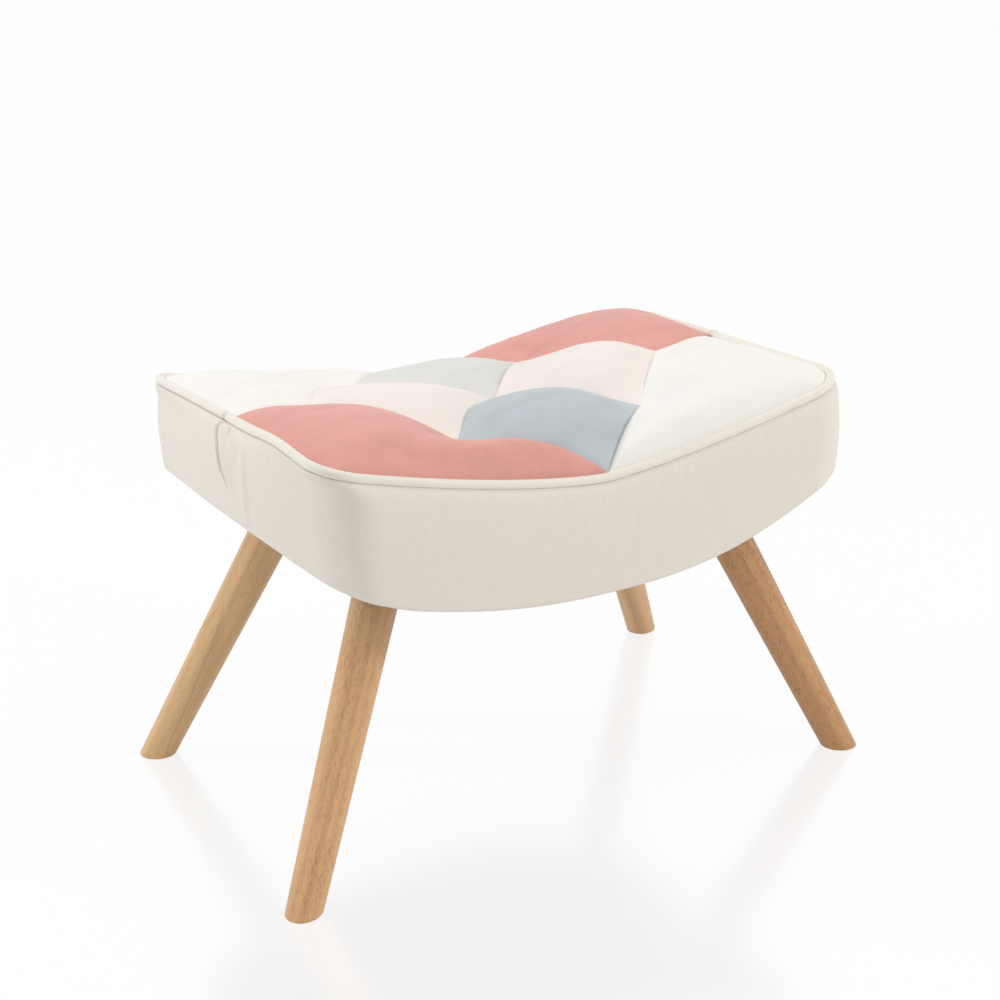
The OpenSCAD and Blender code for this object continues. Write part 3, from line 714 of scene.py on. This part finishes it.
def stuffing():
    """The body of the seat from the deck up, with a shoulder under the cover's edge."""
    rows, around = 24, 160
    s = np.linspace(0, ROUND, around, endpoint=False)
    edge = on_outline(s, -STUFFING_IN)
    rings = []
    for k in range(1, rows + 1):
        p = edge * (k / rows)
        shoulder = rim_z(p[:, 0]) + SHOULDER + SHOULDER_RISE * (1 - k / rows)
        rings.append(np.column_stack([p, np.minimum(seam_z(p[:, 0], p[:, 1]) - UNDER_COVER, shoulder)]))
    wide = on_outline(s, 0.0, WAIST_LOW)
    rings.append(np.column_stack([wide, rim_z(wide[:, 0]) - WAIST_DROP]))
    for k in range(rows, 0, -1):
        p = wide * (k / rows)
        rings.append(np.column_stack([p, rim_z(p[:, 0]) - FOAM_DEPTH + OFF_DECK]))
    rings = [warped(ring) for ring in rings]
    top = (0, 0, float(seam_z(0, 0)) - UNDER_COVER)
    return closed_body("stuffing", rings, top, (0, 0, RIM_MID_Z - FOAM_DEPTH + OFF_DECK))


body = dress(stuffing(), STUFFING, "wadding", "foam_core", "wadding")


# Piping: a cloth-covered cord in two lengths, the end of each tucked into the start of the other

PIPING_SIDES = 20
# Where the two lengths join, as distances round the seat
LEFT_JOIN, RIGHT_JOIN = -0.0105, ROUND / 2 + 0.020
# At a join the start of one length stands proud like a mouth, and the narrowed end of the other tucks into it
MOUTH_LAP, MOUTH_REACH, MOUTH_EDGE, MOUTH_BLUNT = 0.0012, 0.008, 0.0022, 0.6
TUCK, TUCK_REACH, TUCK_SHARE = 0.0040, 0.0050, 0.24
# The stitched groove behind the mouth's hem
GROOVE_AT, GROOVE_WIDTH, GROOVE_SHARE = 0.0042, 0.0012, 0.55
# Mesh steps at the mouth, along the length and at the tuck
PIPING_STEPS = (0.0003, 0.0015, 0.0005)
SWELL, SWELL_PITCH, SWELL_SHIFT, SWELL_SEED = 0.03, 70, 0.002, 11


def piping(name, s0, s1):
    """A length of piping from its own mouth at s0 to s1, past which its end is tucked into the next one's."""
    parts = (s0, s0 + 2 * GROOVE_AT, s1 - 3 * TUCK_REACH, s1 + TUCK)
    s = spaced(parts, PIPING_STEPS)
    count = len(s)
    centre = on_outline(s, -PIPING_R)
    path = warped(np.column_stack([centre, rim_z(on_outline(s)[:, 0]) + PIPING_R]))
    out = np.column_stack([(on_outline(s) - centre) / PIPING_R, np.zeros(count)])
    ahead = np.gradient(path, axis=0)
    ahead /= np.linalg.norm(ahead, axis=1)[:, None]
    up = np.cross(out, ahead)
    up *= np.sign(up[:, 2:3])
    up /= np.linalg.norm(up, axis=1)[:, None]
    to_end = unit((s - s0) / MOUTH_EDGE)
    cap = np.sqrt(unit(1 - (1 - to_end) ** 2)) * (1 - MOUTH_BLUNT) + MOUTH_BLUNT
    cap *= 1 - TUCK_SHARE * bell(np.maximum(0, s1 - s), TUCK_REACH)
    cap *= 1 - GROOVE_SHARE * bell(s - s0 - GROOVE_AT, GROOVE_WIDTH)
    over = MOUTH_LAP * bell(s - s0, MOUTH_REACH)
    path += over[:, None] * (out + np.array([0, 0, 1.0]))
    points, uvs = [], []
    for j in range(PIPING_SIDES):
        a = 2 * math.pi * j / PIPING_SIDES
        swell = 1 + SWELL * wobble(path + np.array([0.0, 0.0, j * SWELL_SHIFT]), SWELL_PITCH, SWELL_SEED)
        radius = (PIPING_R * cap * swell)[:, None]
        points.append(path + radius * (math.cos(a) * out + math.sin(a) * up))
        uvs.append(np.column_stack([s, np.full(count, PIPING_R * a)]))
    points = np.stack(points, 1).reshape(-1, 3)
    uvs = np.stack(uvs, 1).reshape(-1, 2)
    faces = grid_faces(count, PIPING_SIDES, closed=True)
    first = tuple(range(PIPING_SIDES))
    faces += [first[::-1], tuple((count - 1) * PIPING_SIDES + j for j in first)]
    return mesh_piece(name, points, faces, uvs)


cord_near = piping("cord_near", LEFT_JOIN, RIGHT_JOIN)
cord_far = piping("cord_far", RIGHT_JOIN, ROUND + LEFT_JOIN)
dress(cord_near, PIPING_CLOTH, "piping_cloth", "piping_near")
dress(cord_far, PIPING_CLOTH, "piping_cloth", "piping_far")


# Side band: the boxing in two strips, pleated at the left join, turned under the frame

TURN_R, TURN_OUT = 0.0035, 0.0002
DOWN_STEPS, TURN_STEPS, HEM_STEPS = 40, 7, 6


def section(height):
    """Offsets and drops down one section of the band, round the lower edge and in along the hem."""
    t, k = np.linspace(0, 1, DOWN_STEPS), np.linspace(0, 1, len(BAND_OFF))
    off, drop = np.interp(t, k, BAND_OFF), np.interp(t, k, BAND_DEPTH) * height
    turn = np.radians(np.linspace(0, 90, TURN_STEPS))[1:]
    off_t = SIDE_FLARE + TURN_OUT - TURN_R * (1 - np.cos(turn))
    drop_t = height - TURN_R * (1 - np.sin(turn))
    hem = np.linspace(SIDE_FLARE - TURN_R, SIDE_FLARE - HEM_W, HEM_STEPS)[1:]
    return np.concatenate([off, off_t, hem]), np.concatenate([drop, drop_t, np.full(len(hem), height)])


# The pleat's lines, as depths down the band and places round the seat: a sharp crease, a short one, a hollow
# and a ridge
CREASE_DOWN = (
    (0, 0.035, 0.095, 0.235, 0.395, 0.555, 0.75, 1),
    (-0.012, -0.0105, -0.0075, -0.0007, 0.0053, 0.0127, 0.020, 0.028),
)
SHORT_DOWN = ((0, 0.04, 0.13), (0.0048, 0.0098, 0.0098))
HOLLOW_DOWN = ((0, 0.085, 0.235, 0.42, 1), (0.0200, 0.0248, 0.0335, 0.0353, 0.0400))
RIDGE_DOWN = ((0, 0.055, 0.22, 0.46, 1), (0.0280, 0.0370, 0.0473, 0.0488, 0.0500))
# Fades of the pleat's waves: the depth where one is whole, the depth where it begins to go, and how fast
SHARP, BRIEF, SOFT = (0, 0.42, 0.14), (0, 0.03, 0.06), (0.12, 0.70, 0.25)
# The waves: line, fade, how far the cloth stands out, width, and how far past the line
PLEAT_WAVES = (
    (CREASE_DOWN, SHARP, 0.0029, 0.0032, -0.0030), (CREASE_DOWN, SHARP, 0.0030, 0.0075, 0.0060),
    (CREASE_DOWN, SHARP, -0.0120, 0.0017, 0.0), (SHORT_DOWN, BRIEF, -0.0045, 0.0016, 0.0),
    (HOLLOW_DOWN, SOFT, -0.0022, 0.0070, 0.0), (RIDGE_DOWN, SOFT, 0.0024, 0.0066, 0.0),
)


def pleat(s, down):
    """How far the cloth stands out round the pleat below the piping's join on the left."""
    s = np.where(s > ROUND / 2, s - ROUND, s)
    push = np.zeros(len(s))
    for line, (whole, going, fade), height, width, past in PLEAT_WAVES:
        share = bell(np.maximum(0, down - going), fade)
        if whole:
            share *= unit(down / whole)
        push += height * share * bell(s - np.interp(down, *line) - past, width)
    return push


BAND_SEED = 21
# Ripples over the whole band, along the piping and along the hem
WIDE_PITCH, WIDE_DEPTH, WIDE_STRETCH = 11, 0.0008, 0.05
TOP_PITCH, TOP_DEPTH, LOW_PITCH, LOW_DEPTH, PUCKER_REACH = 120, 0.00040, 70, 0.00035, 0.12
# Soft upright folds: place round the seat, tilt down the band, width of one fold, and strength
CORNER_FOLDS = (
    (0.186, 0.010, 0.0050, 0.5), (0.722, -0.008, 0.0052, 0.5),
    (1.075, 0.006, 0.0052, 0.8), (1.613, -0.010, 0.006, 0.7),
)
FOLD_REACH, FOLD_GAIN, FOLD_DELAY = 4, 1.6, 0.25
# How far round the mesh leans with the crease
JOIN_REACH = 0.060
# How far from the crease the mesh is fine, and its steps there and elsewhere
PLEAT_WIDTH, FINE_STEP, PLAIN_STEP = 0.065, 0.0006, 0.0024
# How far the cloth may be drawn in over the foam and over the timber, and where that changes
SOFT_IN, HARD_IN, TIMBER_FROM, TIMBER_BLEND = 0.0070, 0.0010, 0.30, 0.15
# The sewn edge and the hem, which keep their place
SEWN_TO, HEM_FROM = 0.03, 0.995


def ripple(plan, down, pitch, seed, stretch=0.02):
    """Ripples that run down the band."""
    return wobble(np.column_stack([plan, down * stretch]), pitch, seed)


def side_band(name, s0, s1):
    """One strip of the band, whose end on the left follows the pleat's crease, and its area while thin."""
    if s0 == 0:
        ends, steps = (s0, s0 + PLEAT_WIDTH, s1), (FINE_STEP, PLAIN_STEP)
    else:
        ends, steps = (s0, s1 - PLEAT_WIDTH, s1), (PLAIN_STEP, FINE_STEP)
    s = np.append(spaced(ends, steps), s1)
    count = len(s)
    tall = float(np.mean(rim_z(on_outline(s)[:, 0]) - base_z(on_outline(s, 0, 1)[:, 0])))
    off, drop = section(tall)
    rows = len(off)
    run_down = np.concatenate([[0], np.cumsum(np.hypot(np.diff(off), np.diff(drop)))])
    around, down = np.repeat(s, rows), np.tile(drop / tall, count)
    to_left = np.minimum(np.abs(around), np.abs(around - ROUND))
    around += np.interp(down, *CREASE_DOWN) * bell(to_left, JOIN_REACH)
    points = band_points(around, np.tile(off, count), down)
    low = low_share(down)
    plan = on_outline(around, 0.0, low)
    normal = on_outline(around, 1.0, low) - plan
    push = WIDE_DEPTH * ripple(plan, down, WIDE_PITCH, BAND_SEED, WIDE_STRETCH)
    push += TOP_DEPTH * ripple(plan, down, TOP_PITCH, BAND_SEED + 1) * np.exp(-np.abs(down) / PUCKER_REACH)
    push += LOW_DEPTH * ripple(plan, down, LOW_PITCH, BAND_SEED + 2) * np.exp(-(1 - down) / PUCKER_REACH)
    for corner, tilt, width, strength in CORNER_FOLDS:
        away = around - corner - tilt * (down - 0.5)
        fold = np.cos(away / width) * bell(away, FOLD_REACH * width)
        push += MM * strength * fold * unit(down * FOLD_GAIN - FOLD_DELAY)
    push += pleat(around, down)
    limit = SOFT_IN + (HARD_IN - SOFT_IN) * unit((down - TIMBER_FROM) / TIMBER_BLEND)
    push = np.where(push < 0, -limit * (1 - np.exp(np.minimum(push, 0) / limit)), push)
    push *= unit(down / SEWN_TO) * (down < HEM_FROM)
    points[:, :2] += normal * push[:, None]
    uvs = np.column_stack([around, np.tile(run_down, count)])
    piece = mesh_piece(name, warped(points), grid_faces(count, rows), uvs)
    face = piece.data.polygons[(count // 2) * (rows - 1) + rows // 3]
    if face.normal.dot(Vector((face.center.x, face.center.y, 0))) < 0:
        piece.data.flip_normals()
    area = area_of(piece)
    return as_cloth(piece, CLOTH_T), area


# The two strips of the band, each with the boxing node that it stands for
for name, s0, s1, node, cord in (
    ("band_near", 0.0, RIGHT_JOIN, "boxing_near", cord_near),
    ("band_far", RIGHT_JOIN, ROUND, "boxing_far", cord_far),
):
    band, area = side_band(name, s0, s1)
    dress(band, LINEN, "linen", node)


# Timber behind the cloth: rails, block and deck, eased where the cover was drawn in over them

CLOTH_GAP = 0.0014
# The body that they are cut to: its points and rings, room at the hem, and how far it goes on below
INSIDE_AROUND, INSIDE_RINGS, INSIDE_FROM = 240, 14, 0.10
HEM_ROOM, PAST_HEM, PAST_MIDDLE = 0.002, 0.06, 0.09


def cover_inside():
    """The space within the side band and above its hem, carried on downwards inside the hem's edge."""
    s = np.linspace(0, ROUND, INSIDE_AROUND, endpoint=False)
    rings = []
    for share in np.linspace(INSIDE_FROM, 1.0, INSIDE_RINGS):
        depth = np.full(len(s), share)
        off = np.interp(share, BAND_DEPTH, BAND_OFF) - CLOTH_T - CLOTH_GAP
        rings.append(warped(band_points(s, off, depth)))
    hem = warped(band_points(s, SIDE_FLARE - HEM_W - HEM_ROOM, np.ones(len(s))))
    for ring in (rings[-1], hem):
        ring[:, 2] += CLOTH_T + CLOTH_GAP
    rings += [hem, hem - np.array([0, 0, PAST_HEM])]
    return closed_body("cover_inside", rings, (0, 0, RIM_MID_Z), (0, 0, BASE_MID_Z - PAST_MIDDLE))


def eased(name, node, inside):
    """A copy of a frame member, cut back to the space within the cover."""
    piece = placed(name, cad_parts[node].data.copy())
    tidy_mesh(piece.data, MERGE)
    apply_modifier(piece, "BOOLEAN", object=inside, operation="INTERSECT", solver="EXACT")
    return smooth(piece, SAWN_ANGLE)


inside = cover_inside()
in_pine = {
    "eased_rail_near": "rail_near", "eased_rail_far": "rail_far", "eased_end_left": "end_rail_left",
    "eased_end_right": "end_rail_right", "eased_corner": "block_near_left",
}
for name, node in in_pine.items():
    dress(eased(name, node, inside), PINE, "frame_timber", node)
dress(eased("eased_deck", "deck_board", inside), PLY, "deck_ply", "deck_board")
dress(eased("flush_screws", "frame_screws", inside), PASSIVATED, "screw_steel", "frame_screws")
bpy.data.objects.remove(inside)


# Legs: turned tapers, cut level at the floor with an eased edge

LEG_SEGMENTS, LEG_RINGS = 72, 14
EASE = 0.0016
# How far apart the legs' places in the wood are
GRAIN_SHIFT = Vector((0.31, 0.17, 0.53))


def leg_line(side_x, side_y):
    """A leg's foot on the floor, its top, and the turn from upright to its own axis."""
    foot = Vector((FOOT.x * side_x, FOOT.y * side_y, 0))
    top = Vector((LEG_TOP.x * side_x, LEG_TOP.y * side_y, LEG_TOP.z))
    return foot, top, (top - foot).normalized().to_track_quat("Z", "Y").to_matrix()


def leg(name, side_x, side_y, turn, seed):
    """A tapered turning on its own axis; the grain attribute holds its places in the leg's own frame."""
    foot, top, tilt = leg_line(side_x, side_y)
    axis = (top - foot).normalized()
    length = (top - foot).length - LEG_SHORT
    # How far the taper goes on before it is cut level at the floor
    tail = LEG_FOOT_D
    r_top, r_foot = LEG_TOP_D / 2, LEG_FOOT_D / 2
    r_tail = r_foot - (r_top - r_foot) / length * tail
    piece = added(bpy.ops.mesh.primitive_cone_add, vertices=LEG_SEGMENTS, radius1=r_tail, radius2=r_top,
                  depth=length + tail)
    piece.name = name
    turned = tilt.to_4x4() @ Matrix.Rotation(turn, 4, "Z")
    piece.data.transform(Matrix.Translation(foot + axis * ((length - tail) / 2)) @ turned)
    mode("EDIT")
    bpy.ops.mesh.select_all(action="SELECT")
    bpy.ops.mesh.bisect(plane_co=(0, 0, 0), plane_no=(0, 0, 1), clear_inner=True, use_fill=True)
    ease_edges(piece, lambda v: abs(v.co.z) < ON_PLANE, EASE)
    ease_edges(piece, lambda v: abs((v.co - foot).dot(axis) - length) < ON_PLANE, EASE / 2)
    mode("OBJECT")
    stations(piece, foot, axis, length, LEG_RINGS)
    tidy_mesh(piece.data, MERGE)
    back = (Matrix.Translation(foot) @ turned).inverted()
    grain = piece.data.attributes.new("grain", "FLOAT_VECTOR", "POINT")
    for vertex in piece.data.vertices:
        grain.data[vertex.index].vector = back @ vertex.co + seed * GRAIN_SHIFT
    return smooth(piece, LEG_ANGLE)


def ease_edges(piece, test, width):
    """Bevels the edges whose two ends both pass the test."""
    mode("OBJECT")
    mesh = piece.data
    hit = {v.index for v in mesh.vertices if test(v)}
    for v in mesh.vertices:
        v.select = v.index in hit
    for e in mesh.edges:
        e.select = e.vertices[0] in hit and e.vertices[1] in hit
    for f in mesh.polygons:
        f.select = all(i in hit for i in f.vertices)
    mode("EDIT")
    bpy.ops.mesh.select_mode(type="EDGE")
    bpy.ops.mesh.bevel(offset=width, segments=4, affect="EDGES")


def stations(piece, foot, axis, length, count):
    """Cuts rings along the leg, so that its grain attribute follows the surface closely."""
    only(piece)
    mode("EDIT")
    for k in range(1, count):
        bpy.ops.mesh.select_all(action="SELECT")
        bpy.ops.mesh.bisect(plane_co=foot + axis * (length * k / count), plane_no=axis)
    mode("OBJECT")


def facing(side_x, side_y, place):
    """The turn of a leg's grain that brings its first direction round to face a place."""
    foot, _, tilt = leg_line(side_x, side_y)
    aim = tilt.transposed() @ (Vector(place) - foot)
    return math.atan2(aim.y, aim.x)


# About where the camera stands
VIEWER = (-0.85, -1.42, 0.86)
RING_LEAN = 0.02
# Sides, turn of the grain, seed, base colour, colour and strength of the pores, and the place across,
# the top and the steepness of a growth ring's line
LEG_LOOKS = {
    "leg_near_left": (-1, -1, 0.4, 1, (222, 175, 127), (146, 93, 55), 0.46, None),
    "leg_near_right": (1, -1, 1.9, 2, (204, 154, 108), (124, 76, 43), 0.66, None),
    "leg_far_left": (
        -1, 1, facing(-1, 1, VIEWER), 3, (224, 183, 134), (150, 106, 70), 0.24, (-0.0096, 0.191, 620.0),
    ),
    "leg_far_right": (1, 1, 5.1, 4, (222, 180, 136), (158, 116, 80), 0.20, None),
}
for name, (sx, sy, turn, seed, colour, dark, pored, arch) in LEG_LOOKS.items():
    if arch:
        shifted = seed * GRAIN_SHIFT
        arch = (arch[0] + shifted.y, arch[1] + shifted.z, arch[2])
    wood = leg_wood(f"{name}_wood", colour, dark, pored, RING_LEAN * seed, arch)
    dress(leg(name.replace("leg", "turned"), sx, sy, turn, seed), wood, "leg_wood", name)


# Underside: dust cover with its staples

DUST_IN, DUST_SAG, DUST_BELOW, DUST_RIPPLE, DUST_T = 0.010, 0.0025, 0.0016, 0.0006, 0.0006
# Room round a leg, and the length of the cutter
LEG_ROOM, CUTTER_LEN = 0.002, 0.09


def dust_cover():
    """Thin black cloth under the frame, sagging a little in the middle and cut round the legs."""
    rows, around = 40, 200
    s = np.linspace(0, ROUND, around, endpoint=False)
    edge = on_outline(s, SIDE_FLARE - DUST_IN, 1.0)
    plan = np.vstack([[(0.0, 0.0)], *(edge * (k / rows) for k in range(1, rows + 1))])
    x, y = plan.T
    sag = DUST_SAG * unit(1 - (x / HALF_LEN) ** 2) * unit(1 - (y / HALF_WID) ** 4)
    flat = np.column_stack([x, y, base_z(x) - DUST_BELOW - sag])
    flat[:, 2] += DUST_RIPPLE * wobble(flat, 30, 31)
    faces = [tuple(i + 1 for i in face) for face in grid_faces(rows, around, closed=True)]
    faces += [(0, 1 + (j + 1) % around, 1 + j) for j in range(around)]
    piece = mesh_piece("under_cloth", warped(flat), faces)
    turn_faces(piece, up=False)
    apply_modifier(piece, "SOLIDIFY", thickness=DUST_T, offset=0.0)
    cut_round_legs(piece)
    piece.data.shade_smooth()
    return piece


def cut_round_legs(piece):
    """Cuts a piece away where the four legs go through it."""
    for side_x in (-1, 1):
        for side_y in (-1, 1):
            _, top, tilt = leg_line(side_x, side_y)
            cutter = added(bpy.ops.mesh.primitive_cylinder_add, vertices=48, radius=LEG_TOP_D / 2 + LEG_ROOM,
                           depth=CUTTER_LEN)
            cutter.data.transform(Matrix.Translation(top) @ tilt.to_4x4())
            apply_modifier(piece, "BOOLEAN", object=cutter, operation="DIFFERENCE", solver="EXACT")
            bpy.data.objects.remove(cutter)


STAPLE_WIDE, WIRE, STAPLE_STEP, STAPLE_GAP = 0.010, 0.0009, 0.034, 0.02
STAPLE_IN, STAPLE_BELOW, STAPLE_CROOKED, AHEAD = 0.006, 0.0026, 0.12, 0.004


def staples():
    """Wire staples round the edge of the dust cover, as the flat crowns that are seen of them."""
    made = []
    for k, s in enumerate(np.arange(0.0, ROUND - STAPLE_GAP, STAPLE_STEP)):
        here, ahead = on_outline([s, s + AHEAD], -STAPLE_IN, 1.0)
        slope = math.atan2(float(base_z(ahead[0]) - base_z(here[0])), AHEAD)
        crooked = STAPLE_CROOKED * noise.noise(Vector((k * 1.7, 0, 0)))
        heading = math.atan2(ahead[1] - here[1], ahead[0] - here[0]) + crooked
        place = warped([[here[0], here[1], float(base_z(here[0])) - STAPLE_BELOW]])[0]
        piece = added(bpy.ops.mesh.primitive_cube_add, size=1.0)
        piece.data.transform(Matrix.Diagonal((STAPLE_WIDE, WIRE * 1.3, WIRE, 1)))
        mode("EDIT")
        bpy.ops.mesh.select_all(action="SELECT")
        bpy.ops.mesh.bevel(offset=WIRE * 0.3, segments=2, affect="EDGES")
        mode("OBJECT")
        turned = Matrix.Rotation(heading, 4, "Z") @ Matrix.Rotation(-slope, 4, "Y")
        piece.data.transform(Matrix.Translation(place) @ turned)
        made.append(piece)
    only(*made)
    bpy.ops.object.join()
    piece = bpy.context.object
    piece.name = "staples"
    return piece


cover = dress(dust_cover(), DUST, "dust_cloth", "dust_cover")
# The finished cloth has two sides
area = area_of(cover) / 2
dress(staples(), ZINC, "bolt_steel")


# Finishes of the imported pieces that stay

for names, material in (
    (("plate_near_left", "plate_near_right", "plate_far_left", "plate_far_right"), ZINC),
    (("hanger_bolts", "plate_screws"), ZINC),
    (("cross_rail_left", "cross_rail_right", "block_near_right", "block_far_left", "block_far_right"), PINE),
    (("tie_washers",), WASHER),
    (("tuft_ties",), TWINE),
):
    for name in names:
        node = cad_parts[name]
        node.data.materials.clear()
        node.data.materials.append(material)


# Floor, light and camera

WORLD_LIGHT = 0.62
# Shares of the floor as it is seen: the rest of it is plain white
FLOOR_GLOSS, FLOOR_SHADE = 0.13, 0.05


def stage_floor():
    floor = added(bpy.ops.mesh.primitive_plane_add, size=40)
    floor.name = "floor"
    n = Nodes("floor_white")
    path = n.add("LightPath").outputs
    seen = n.math("ADD", path["Is Camera Ray"], path["Is Glossy Ray"])
    seen = n.math("ADD", seen, path["Is Transmission Ray"], True)
    white = n.add("Emission", {"Color": (1, 1, 1, 1), "Strength": 1.0})
    gloss = n.add("BsdfGlossy", {"Color": (1, 1, 1, 1), "Roughness": 0.18})
    matt = n.add("BsdfDiffuse", {"Color": (0.93, 0.93, 0.93, 1)})
    polished = n.add("MixShader", {0: FLOOR_GLOSS, 1: white.outputs[0], 2: gloss.outputs[0]})
    shaded = n.add("MixShader", {0: FLOOR_SHADE, 1: polished.outputs[0], 2: matt.outputs[0]})
    white_floor = n.done("MixShader", {0: seen, 1: matt.outputs[0], 2: shaded.outputs[0]})
    floor.data.materials.append(white_floor)


# Lamps: place, size, power and colour, all of them turned to one point
LAMP_AIM = (0, 0, 0.3)
LAMPS = {
    "overhead": ((-0.2, 0.1, 2.4), 1.2, 8.6, (1.0, 0.98, 0.95)),
    "left_side": ((-2.0, 1.33, 1.65), 0.35, 20, (0.955, 0.985, 1.035)),
    "right_side": ((1.9, -1.6, 1.45), 0.35, 18.5, (1.0, 0.98, 0.95)),
}


def lamp(name, place, size, power, colour):
    data = bpy.data.lights.new(name, "AREA")
    data.shape, data.size, data.energy, data.color = "DISK", size, power, colour
    obj = placed(name, data)
    obj.location = place
    obj.rotation_euler = (Vector(LAMP_AIM) - Vector(place)).to_track_quat("-Z", "Y").to_euler()


def stage_world():
    n = Nodes("studio", world=True)
    path = n.add("LightPath").outputs
    seen = n.math("ADD", path["Is Camera Ray"], path["Is Glossy Ray"], True)
    soft = n.add("Background", {"Color": (1.0, 0.99, 0.975, 1), "Strength": WORLD_LIGHT})
    plain = n.add("Background", {"Color": (1, 1, 1, 1), "Strength": 1.0})
    studio = n.done("MixShader", {0: seen, 1: soft.outputs[0], 2: plain.outputs[0]})
    bpy.context.scene.world = studio


stage_floor()
stage_world()
for name, settings in LAMPS.items():
    lamp(name, *settings)

# Camera: turned and tipped as the photograph is taken, aimed at the seat
CAMERA_YAW, CAMERA_PITCH, CAMERA_ROLL = map(math.radians, (-31.03, 19.36, -0.27))
CAMERA_TARGET, CAMERA_AWAY, CAMERA_LENS = Vector((0.01582, 0.02234, 0.26436)), 1.787, 63.89


def stage_camera():
    data = bpy.data.cameras.new("camera")
    data.lens, data.sensor_width, data.sensor_fit = CAMERA_LENS, 36.0, "HORIZONTAL"
    camera = placed("camera", data)
    turn = (Matrix.Rotation(CAMERA_YAW, 4, "Z") @ Matrix.Rotation(math.pi / 2 - CAMERA_PITCH, 4, "X")
            @ Matrix.Rotation(CAMERA_ROLL, 4, "Z"))
    place = CAMERA_TARGET + turn.to_3x3() @ Vector((0, 0, CAMERA_AWAY))
    camera.matrix_world = Matrix.Translation(place) @ turn
    bpy.context.scene.camera = camera


stage_camera()
bpy.context.scene.view_settings.view_transform = "Standard"

bpy.context.view_layer.update()
